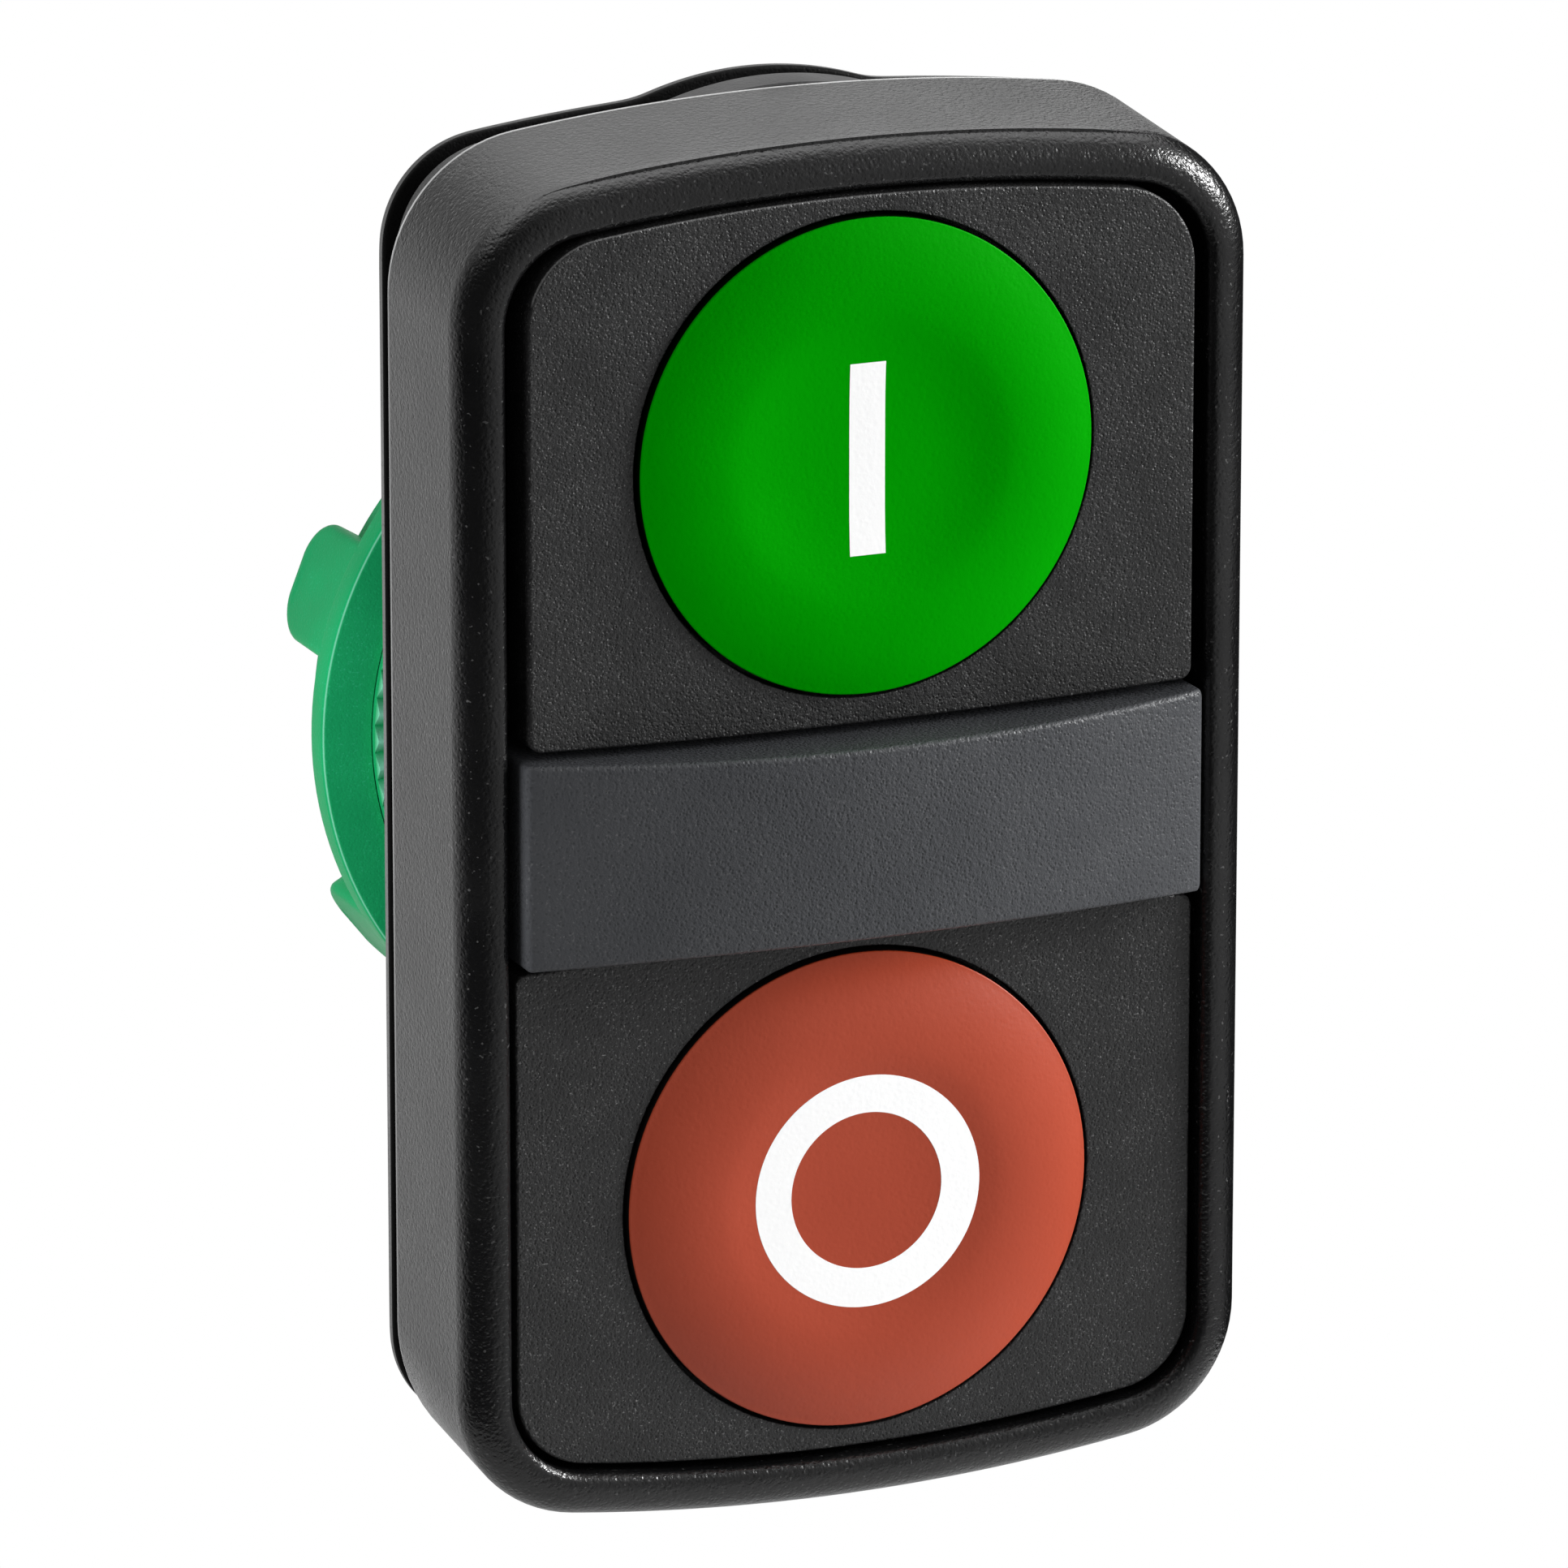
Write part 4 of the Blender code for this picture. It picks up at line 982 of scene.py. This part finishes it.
# The front face and its rounded edge, in the groove behind the housing, take painted shade.
painted_groove_shade = dict.fromkeys(range(7, 14), 1.0)
gasket = skin("panel_gasket", rows, ring=True, painted_rows=painted_groove_shade)
gasket = cut(gasket, key_notch(-SEAL_THICKNESS, 2 * SEAL_THICKNESS))
outer_bead = beaded(drawn_in(seal_edge, 1.1 * MM), 0.07 * MM, BEAD_RADIUS, seal_rubber)
inner_bead = beaded(circle((0.0, 0.0), 13.3 * MM, 120), 0.07 * MM, BEAD_RADIUS, seal_rubber)
gasket = joined("panel_gasket", gasket, outer_bead, inner_bead)
dress("panel_gasket", gasket, seal_rubber, "housing", "seal_rubber", "panel_seal")

# %% [markdown]
# ## Rear body and its thread
# The rear body closes the housing with a flange of the seal's own outline, and a low seat inside that
# outline carries the seal, which leaves a groove between the two. Behind the panel it goes on as a
# threaded barrel with a key that stops it turning, a keyway for the lock ring and two slots for the
# contact block. The thread could be a stack of rings, but only a true helix lets the nut travel, so a
# ridge is swept along one and cut at the slots.

# %% Barrel and flange
SEAT_BACK = 0.55 * MM
SEAT_INSET = 1.4 * MM
FLANGE_BACK = 1.58 * MM
FLANGE_FRONT = 3.27 * MM
FLANGE_ROUND = 0.16 * MM
BACK_PLATE_FRONT = 4.35 * MM
BORE_CEILING = 3.10 * MM
BARREL_RADIUS = 10.9 * MM
BARREL_LENGTH = 14.55 * MM
BARREL_CHAMFER = 0.4 * MM
BORE_RADIUS = 9.7 * MM
LEDGE_RADIUS = 9.9 * MM
LEDGE_Z = -11.3 * MM
NECK_LENGTH = 1.6 * MM
THREAD_PITCH = 1.5 * MM
THREAD_DEPTH = 0.45 * MM
THREAD_ROOT = 10.35 * MM
THREAD_START = -2.175 * MM
THREAD_TURNS = 8
KEY_LENGTH = 0.9 * MM
STEM = Vector((3.4, -6.6)) * MM

rows = []
for i in range(5):
    turn = math.pi / 2 * i / 4
    edge = drawn_in(seal_edge, FLANGE_ROUND * (1 - math.sin(turn)))
    rows.append(at_height(edge, FLANGE_BACK + FLANGE_ROUND * (1 - math.cos(turn))))
rows.append(at_height(seal_edge, FLANGE_FRONT - 0.06 * MM))
rows.append(at_height(drawn_in(seal_edge, 0.06 * MM), FLANGE_FRONT))
flange = skin("flange", rows)
inside_flange = (FLANGE_BACK + FLANGE_FRONT) / 2
seat = skin("seal_seat", [at_height(seal_outline(SEAT_INSET), z) for z in (SEAT_BACK, inside_flange)])
plate_edge = housing_outline(RIM_WIDTH + 0.15 * MM)
plate_rows = [at_height(plate_edge, z) for z in (inside_flange, BACK_PLATE_FRONT)]
section = [(BARREL_RADIUS, inside_flange), (BARREL_RADIUS, -NECK_LENGTH), (THREAD_ROOT, -NECK_LENGTH)]
section += [(THREAD_ROOT, -BARREL_LENGTH), (0.0, -BARREL_LENGTH), (0.0, inside_flange)]
core = turned("barrel_core", section, 144)
key = block("orientation_key", (-1.5 * MM, 9.9 * MM, -KEY_LENGTH), (1.5 * MM, 12.6 * MM, inside_flange))
solid = cut(flange, seat, skin("back_plate", plate_rows), core, key, operation="UNION")

# %% Bore, slots and thread
past_end = -BARREL_LENGTH - 2.0 * MM
bore = [(0.0, BORE_CEILING), (BORE_RADIUS, BORE_CEILING), (BORE_RADIUS, LEDGE_Z), (LEDGE_RADIUS, LEDGE_Z)]
bore += [(LEDGE_RADIUS, past_end), (0.0, past_end)]
keyway = block("keyway", (-1.1 * MM, -12.5 * MM, past_end), (1.1 * MM, -10.2 * MM, -KEY_LENGTH))
slot_end = 2.5 * MM - BARREL_LENGTH
slots = block("bayonet_slots", (-12.5 * MM, -2.0 * MM, past_end), (12.5 * MM, 2.0 * MM, slot_end))
edge = BARREL_RADIUS - BARREL_CHAMFER
chamfer = [(0.0, -BARREL_LENGTH), (edge, -BARREL_LENGTH), (edge + MM, MM - BARREL_LENGTH)]
chamfer += [(edge + MM, past_end), (0.0, past_end)]
barrel_end = turned("barrel_end", chamfer, 144)
solid = cut(solid, turned("bore", bore, 144), keyway, slots)
for side in (-1, 1):
    stem = (-side * STEM.x, -side * STEM.y)
    high = BACK_PLATE_FRONT + MM
    rod_hole = [(0, high), (1.35 * MM, high), (1.35 * MM, 0), (0, 0)]
    solid = cut(solid, turned("stem_hole", rod_hole, 48, stem))
    seat = BACK_PLATE_FRONT - 0.9 * MM
    pocket = [(0, high), (2.6 * MM, high), (2.6 * MM, seat), (0, seat)]
    solid = cut(solid, turned("seal_pocket", pocket, 48, stem))
winding = grown(
    thread,
    Radius=THREAD_ROOT + THREAD_DEPTH / 2 - 0.03 * MM,
    Turns=float(THREAD_TURNS),
    Height=THREAD_TURNS * THREAD_PITCH,
    Depth=THREAD_DEPTH + 0.06 * MM,
    Root_Width=1.15 * MM,
    Crest_Width=0.3 * MM,
    Lean=-math.pi / 2,
    Finish=body_black,
)
winding.transform(Matrix.Translation((0.0, 0.0, THREAD_START - THREAD_TURNS * THREAD_PITCH)))
winding = cut(winding, keyway, slots, barrel_end)
threaded = joined("threaded_body", solid, winding)
dress("threaded_body", threaded, body_black, "housing", "body_black", "rear_body")

# %% [markdown]
# ## Plunger guide, plungers and springs
# A disc snapped into the barrel's end guides the two plungers and holds their springs. Ribs stiffen it,
# and they repeat round the middle, so the copies tree sets them out. Each spring is one wire along a
# helix.

# %% Guide
GUIDE_FRONT = -11.4 * MM
GUIDE_BACK = -12.9 * MM
RIB_HEIGHT = 0.5 * MM
disc = [(0.0, GUIDE_FRONT), (9.75 * MM, GUIDE_FRONT), (9.75 * MM, GUIDE_BACK + 0.15 * MM)]
disc += [(9.6 * MM, GUIDE_BACK), (8.9 * MM, GUIDE_BACK), (8.75 * MM, GUIDE_BACK + RIB_HEIGHT)]
disc += [(2.2 * MM, GUIDE_BACK + RIB_HEIGHT), (2.05 * MM, GUIDE_BACK), (0.0, GUIDE_BACK)]
guide_meshes = [turned("guide_disc", disc, 96)]
rib_low = (1.9 * MM, -0.35 * MM, GUIDE_BACK + 0.05 * MM)
rib_high = (8.95 * MM, 0.35 * MM, GUIDE_BACK + 0.7 * MM)
rib = block("guide_rib", rib_low, rib_high)
ribs = copied(rib, 6, 0.0, guide_grey)
stems = {"start": -STEM, "stop": STEM}
bosses = []
holes = []
for name, stem in stems.items():
    boss = [(0, GUIDE_BACK), (2.0 * MM, GUIDE_BACK), (2.1 * MM, GUIDE_BACK + 0.1 * MM)]
    boss += [(2.1 * MM, GUIDE_BACK + 0.8 * MM)]
    bosses.append(turned("guide_boss", boss + [(0, GUIDE_BACK + 0.8 * MM)], 48, stem))
    bore = [(0, GUIDE_FRONT + MM), (1.35 * MM, GUIDE_FRONT + MM)]
    bore += [(1.35 * MM, GUIDE_BACK - MM), (0, GUIDE_BACK - MM)]
    holes.append(turned("guide_hole", bore, 48, stem))
guide = cut(cut(guide_meshes[0], ribs, *bosses, operation="UNION"), *holes)
dress("ribbed_guide", guide, guide_grey, "housing", "guide_grey", "plunger_guide")

# %% Plungers and springs
PLUNGER_RADIUS = 1.2 * MM
PLUNGER_TIP = -13.75 * MM
SPRING_RADIUS = 1.7 * MM
SPRING_WIRE = 0.25 * MM
SPRING_FRONT = -0.95 * MM
SPRING_TURNS = 7.0
for name, front in (("start", START_FRONT), ("stop", STOP_FRONT)):
    stem = stems[name]
    top = front - PLATE_THICKNESS + 0.4 * MM
    rod = [(0.0, top), (PLUNGER_RADIUS - 0.1 * MM, top), (PLUNGER_RADIUS, top - 0.1 * MM)]
    rod += [(PLUNGER_RADIUS, PLUNGER_TIP + 0.8 * MM)]
    nose = 0.55 * MM
    quarter = arc((0, 0), nose, 0, -math.pi / 2, 8)
    rod += [(PLUNGER_RADIUS - nose + x, PLUNGER_TIP + nose + z) for x, z in quarter]
    rod += [(0.0, PLUNGER_TIP)]
    dress(
        f"{name}_push_rod", turned(f"{name}_push_rod", rod, 48, stem), plunger_grey,
        f"{name}_button", "plunger_grey",
        f"{name}_plunger",
    )
    length = SPRING_FRONT - LEDGE_Z - 2 * SPRING_WIRE
    spring = grown(
        coil, Radius=SPRING_RADIUS, Turns=SPRING_TURNS, Height=length,
        Wire_Radius=SPRING_WIRE, Finish=spring_steel,
    )
    spring.transform(Matrix.Translation((*stem, LEDGE_Z + SPRING_WIRE)))
    wound = dress(f"{name}_wound_spring", spring, spring_steel, "housing", "spring_steel", f"{name}_spring")
    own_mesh(wound)

# %% [markdown]
# ## Lock ring
# The lock ring is moulded in the same green as the nut. Its radial teeth bite the panel so that
# vibration can't loosen the nut, and a tab in the keyway keeps it from turning. One small tooth,
# repeated by the copies tree, makes the crown, and the band under it is turned.

# %% Toothed ring
NUT_FRONT = -7.05 * MM
NUT_BORE = 11.15 * MM
RING_RADIUS = 11.8 * MM
TOOTH_COUNT = 72
TOOTH_TIP = NUT_FRONT + 0.6 * MM
TOOTH_ROOT = TOOTH_TIP - 0.4 * MM
RING_BACK = NUT_FRONT - 0.75 * MM
band = [(NUT_BORE, TOOTH_ROOT), (RING_RADIUS, TOOTH_ROOT), (RING_RADIUS, RING_BACK), (NUT_BORE, RING_BACK)]
band = turned("ring_band", band, 144, ring=True)
half = math.pi / TOOTH_COUNT
sink = TOOTH_ROOT - 0.05 * MM
bm = bmesh.new()
painted_light = bm.verts.layers.float.new("edge_wear")
ends = []
for radius in (NUT_BORE, RING_RADIUS):
    flat = 0.12 * half
    profile = [(-half, sink), (half, sink), (half, TOOTH_ROOT), (flat, TOOTH_TIP)]
    profile += [(-flat, TOOTH_TIP), (-half, TOOTH_ROOT)]
    ends.append([bm.verts.new((radius * math.cos(t), radius * math.sin(t), z)) for t, z in profile])
# The tooth crests take a painted highlight.
mark_painted_light([[end[3], end[4]] for end in ends], {0: 0.7, 1: 0.7}, painted_light)
for i in range(6):
    bm.faces.new((ends[0][i - 1], ends[0][i], ends[1][i], ends[1][i - 1]))
bm.faces.new(ends[0])
bm.faces.new(ends[1])
teeth = copied(new_mesh(bm, "ring_tooth"), TOOTH_COUNT, 90.0, nut_green)
tab_low = (-0.95 * MM, -11.6 * MM, RING_BACK + 0.1 * MM)
tab_high = (0.95 * MM, -10.35 * MM, TOOTH_ROOT - 0.1 * MM)
tab = block("ring_tab", tab_low, tab_high)
band = cut(band, tab, operation="UNION")
dress("toothed_ring", joined("toothed_ring", band, teeth), nut_green, "ring", "nut_green", "lock_ring")

# %% [markdown]
# ## Fixing nut
# The nut is a thin rim with a hub behind it and six lugs for the fingers. Its rim is turned with
# rounded edges. One lug is skinned with a rounded outline, wrapped to the rim's curve, and set out six
# times by the copies tree. Inside runs the mating thread, which is half a pitch out of step with the
# barrel's and so stays in its grooves.

# %% Ring nut
NUT_RADIUS = 13.75 * MM
NUT_HUB = 12.6 * MM
RIM_BACK = NUT_FRONT - 1.2 * MM
HUB_BACK = NUT_FRONT - 4.0 * MM
RECESS = RING_RADIUS + 0.05 * MM
RECESS_FLOOR = RING_BACK - 0.1 * MM
NUT_ROUND = 0.16 * MM
LUG_HALF = 2.3 * MM
LUG_CORNER = 1.5 * MM
LUG_TIP = RIM_BACK - 4.0 * MM
LUG_INSIDE = NUT_HUB - 0.9 * MM
LUG_ROUND = 0.3 * MM


def rounded(corner, radius, start, end):
    """A round of a half section, about the point that lies radius inside the corner."""
    return arc(corner, radius, start, end, 5)


r = NUT_ROUND
section = [(RECESS, NUT_FRONT)]
section += rounded((NUT_RADIUS - r, NUT_FRONT - r), r, math.pi / 2, 0.0)
section += rounded((NUT_RADIUS - r, RIM_BACK + r), r, 0.0, -math.pi / 2)
section += [(NUT_HUB + r, RIM_BACK), (NUT_HUB, RIM_BACK - r)]
section += rounded((NUT_HUB - r, HUB_BACK + r), r, 0.0, -math.pi / 2)
section += [(NUT_BORE + 0.3 * MM, HUB_BACK), (NUT_BORE, HUB_BACK + 0.3 * MM)]
section += [(NUT_BORE, RECESS_FLOOR), (RECESS, RECESS_FLOOR)]
# One row of the rim's front round takes a painted highlight line.
ring_nut = turned("ring_nut", section, 160, ring=True, painted_rows={3: 0.6})


def lug_outline(inset):
    """The lug seen from outside, as (across, along the axis), with a round-cornered tip."""
    half = LUG_HALF - inset
    tip = LUG_TIP + inset
    corner = LUG_CORNER - inset
    left = arc((corner - half, tip + corner), corner, math.pi, 1.5 * math.pi, 10)
    right = arc((half - corner, tip + corner), corner, 1.5 * math.pi, math.tau, 10)
    top = RIM_BACK + 0.3 * MM
    side = [(-half, top + (left[0][1] - top) * i / 4) for i in range(4)]
    return side + left + right + [(-x, z) for x, z in reversed(side)]


def lug_row(inset, radius):
    wrapped = []
    for across, along in lug_outline(inset):
        turn = across / NUT_RADIUS
        wrapped.append((radius * math.cos(turn), radius * math.sin(turn), along))
    return wrapped


rows = [lug_row(LUG_ROUND, LUG_INSIDE), lug_row(0.0, LUG_INSIDE + LUG_ROUND)]
for i in range(6):
    turn = math.pi / 2 * i / 5
    rows.append(lug_row(LUG_ROUND * (1 - math.cos(turn)), NUT_RADIUS - LUG_ROUND * (1 - math.sin(turn))))
rows.append(lug_row(1.6 * LUG_ROUND, NUT_RADIUS))
lugs = copied(skin("nut_lug", rows), 6, 158.5, nut_green)
turns = 2.0
mating = grown(
    thread,
    Radius=NUT_BORE - 0.27 * MM,
    Turns=turns,
    Height=turns * THREAD_PITCH,
    Depth=0.66 * MM,
    Root_Width=1.1 * MM,
    Crest_Width=0.3 * MM,
    Lean=math.pi / 2,
    Finish=nut_green,
)
in_step = THREAD_START - THREAD_PITCH / 2
start = in_step - THREAD_PITCH * math.ceil((in_step - HUB_BACK - 0.1 * MM) / THREAD_PITCH - 0.5)
mating.transform(Matrix.Translation((0.0, 0.0, start)))
print(f"mating thread from {1000 * start:.2f} mm, hub back at {1000 * HUB_BACK:.2f} mm")
dress("ring_nut", joined("ring_nut", ring_nut, lugs, mating), nut_green, "nut", "nut_green", "fixing_nut")

# %% [markdown]
# ## Pieces inside that keep their solids
# The carrier bar, the collars on the plungers and the rubber rings round them are simple turned or boxy
# parts out of sight. Their solids are already right, so they only get their own finishes.

# %% Hidden pieces
inner_finishes = {
    "strip_carrier": body_black,
    "start_spring_collar": collar_steel,
    "stop_spring_collar": collar_steel,
    "start_stem_seal": seal_rubber,
    "stop_stem_seal": seal_rubber,
}
for name, material in inner_finishes.items():
    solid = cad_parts[name]
    solid.data.materials.clear()
    solid.data.materials.append(material)
    print(name, "->", material.name)

# %% [markdown]
# ## Stage and light
# The photo has a plain white surround. A pale floor disc below the head takes its soft shadow, and the
# world is white for the camera. Black plastic shows little else than what it mirrors, so mirrored rays
# meet a studio: a bright wall behind, a soft box overhead, a dim front and dark sides, which draw the
# black edges of the rim. The lamp at the right models the dished caps, and a small one at the left
# reaches the nut behind the housing.

# %% Stage
FLOOR_DROP = 62.0 * MM
disc = [(0.0, 0.0), (80.0 * MM, 0.0), (80.0 * MM, -2.0 * MM), (0.0, -2.0 * MM)]
floor = bpy.data.objects.new("floor_disc", turned("floor_disc", disc, 96))
floor.data.transform(Matrix.Translation((0.0, 0.0, -FLOOR_DROP)))
bpy.context.scene.collection.objects.link(floor)
paper = bpy.data.materials.new("white paper floor")
paper.use_nodes = True
shader = paper.node_tree.nodes["Principled BSDF"]
shader.inputs["Roughness"].default_value = 0.9
shader.inputs["Base Color"].default_value = (0.6, 0.6, 0.6, 1.0)
floor.data.materials.append(paper)
print("floor", 1000 * FLOOR_DROP, "mm below the barrel's axis")

# %% World
world = bpy.data.worlds.new("white studio")
bpy.context.scene.world = world
world.use_nodes = True
tree = world.node_tree
back = tree.nodes["Background"]
axes = tree.nodes.new("ShaderNodeSeparateXYZ")
tree.links.new(tree.nodes.new("ShaderNodeTexCoord").outputs["Generated"], axes.inputs[0])
across, along, upwards = axes.outputs
wall = math_node(tree, "MULTIPLY", spread(tree, along, -0.1, 0.75), spread(tree, across, 0.62, 0.4))
rightwards = math_node(tree, "MULTIPLY_ADD", spread(tree, across, -0.3, 0.3), 0.2, 0.83)
wall = math_node(tree, "MULTIPLY", wall, rightwards)
shaded = math_node(tree, "MULTIPLY", spread(tree, upwards, 0.0, 0.3), spread(tree, across, 0.05, -0.25))
wall = math_node(tree, "MULTIPLY", wall, math_node(tree, "MULTIPLY_ADD", shaded, -0.35, 1.0))
overhead = math_node(tree, "MULTIPLY", spread(tree, upwards, 0.5, 0.85), spread(tree, along, -0.6, 0.3))
overhead = math_node(tree, "MULTIPLY", overhead, 2.6)
front = math_node(tree, "MULTIPLY_ADD", spread(tree, across, -0.55, 0.6), 0.5, 0.05)
front = math_node(tree, "MULTIPLY", front, spread(tree, along, 0.1, -0.5))
mirrored = math_node(tree, "MAXIMUM", math_node(tree, "MAXIMUM", wall, overhead), front)
ray = tree.nodes.new("ShaderNodeLightPath").outputs
glossy = math_node(tree, "MAXIMUM", ray["Is Glossy Ray"], ray["Is Transmission Ray"])
overall = math_node(tree, "MULTIPLY_ADD", upwards, 0.35, 0.35)
ambient = math_node(tree, "MULTIPLY_ADD", across, 0.15, overall)
ambient = math_node(tree, "MAXIMUM", ambient, 0.03)
level = math_node(tree, "MULTIPLY_ADD", math_node(tree, "SUBTRACT", mirrored, ambient), glossy, ambient)
level = math_node(tree, "MAXIMUM", level, ray["Is Camera Ray"])
tree.links.new(level, back.inputs["Strength"])
back.inputs["Color"].default_value = (1.0, 1.0, 1.0, 1.0)


# %% Lamps
def lamp(name, direction, distance, size, watts, mirrored=False):
    """A round soft lamp, which either lights the colours or is mirrored as a highlight."""
    data = bpy.data.lights.new(name, "AREA")
    data.shape = "DISK"
    data.size = size
    data.energy = watts
    obj = bpy.data.objects.new(name, data)
    away = Vector(direction).normalized()
    obj.location = distance * away
    obj.rotation_mode = "QUATERNION"
    obj.rotation_quaternion = away.to_track_quat("Z", "Y")
    obj.visible_camera = False
    obj.visible_glossy = mirrored
    obj.visible_diffuse = not mirrored
    bpy.context.scene.collection.objects.link(obj)


lamp("key_right", (0.9, -0.33, 0.15), 0.25, 0.12, 1.2)
lamp("corner_light", (0.859, -0.315, 0.408), 0.2, 0.05, 0.5, mirrored=True)
lamp("nut_fill", (-0.975, -0.22, 0.0), 0.041, 0.02, 0.0098)
print("lamps:", ", ".join(light.name for light in bpy.data.lights))

# %% [markdown]
# ## Camera
# The photo was taken with a long lens from the left and a little above. The angle, the distance and the
# lens were worked out by fitting the outlines of the housing, the caps and the strip to the photo.

# %% Camera
azimuth = math.radians(-22.918)
elevation = math.radians(16.173)
back_axis = Vector(
    (math.sin(azimuth) * math.cos(elevation), -math.cos(azimuth) * math.cos(elevation), math.sin(elevation))
)
right_axis = Vector((math.cos(azimuth), math.sin(azimuth), 0.0))
up_axis = back_axis.cross(right_axis)
camera_data = bpy.data.cameras.new("long_lens")
camera_data.lens = 272.39
camera_data.sensor_width = 36.0
camera_data.clip_start = 0.02
camera = bpy.data.objects.new("long_lens", camera_data)
aim = Vector((0.0, -2.45 * MM, 0.0)) + 0.266 * MM * right_axis - 0.505 * MM * up_axis
place = aim + 423.73 * MM * back_axis
facing = Matrix((right_axis, up_axis, back_axis)).transposed().to_4x4()
camera.matrix_world = Matrix.Translation(place) @ facing
bpy.context.scene.collection.objects.link(camera)
bpy.context.scene.camera = camera
bpy.context.scene.view_settings.view_transform = "Standard"
print("camera at", [round(value, 4) for value in place])
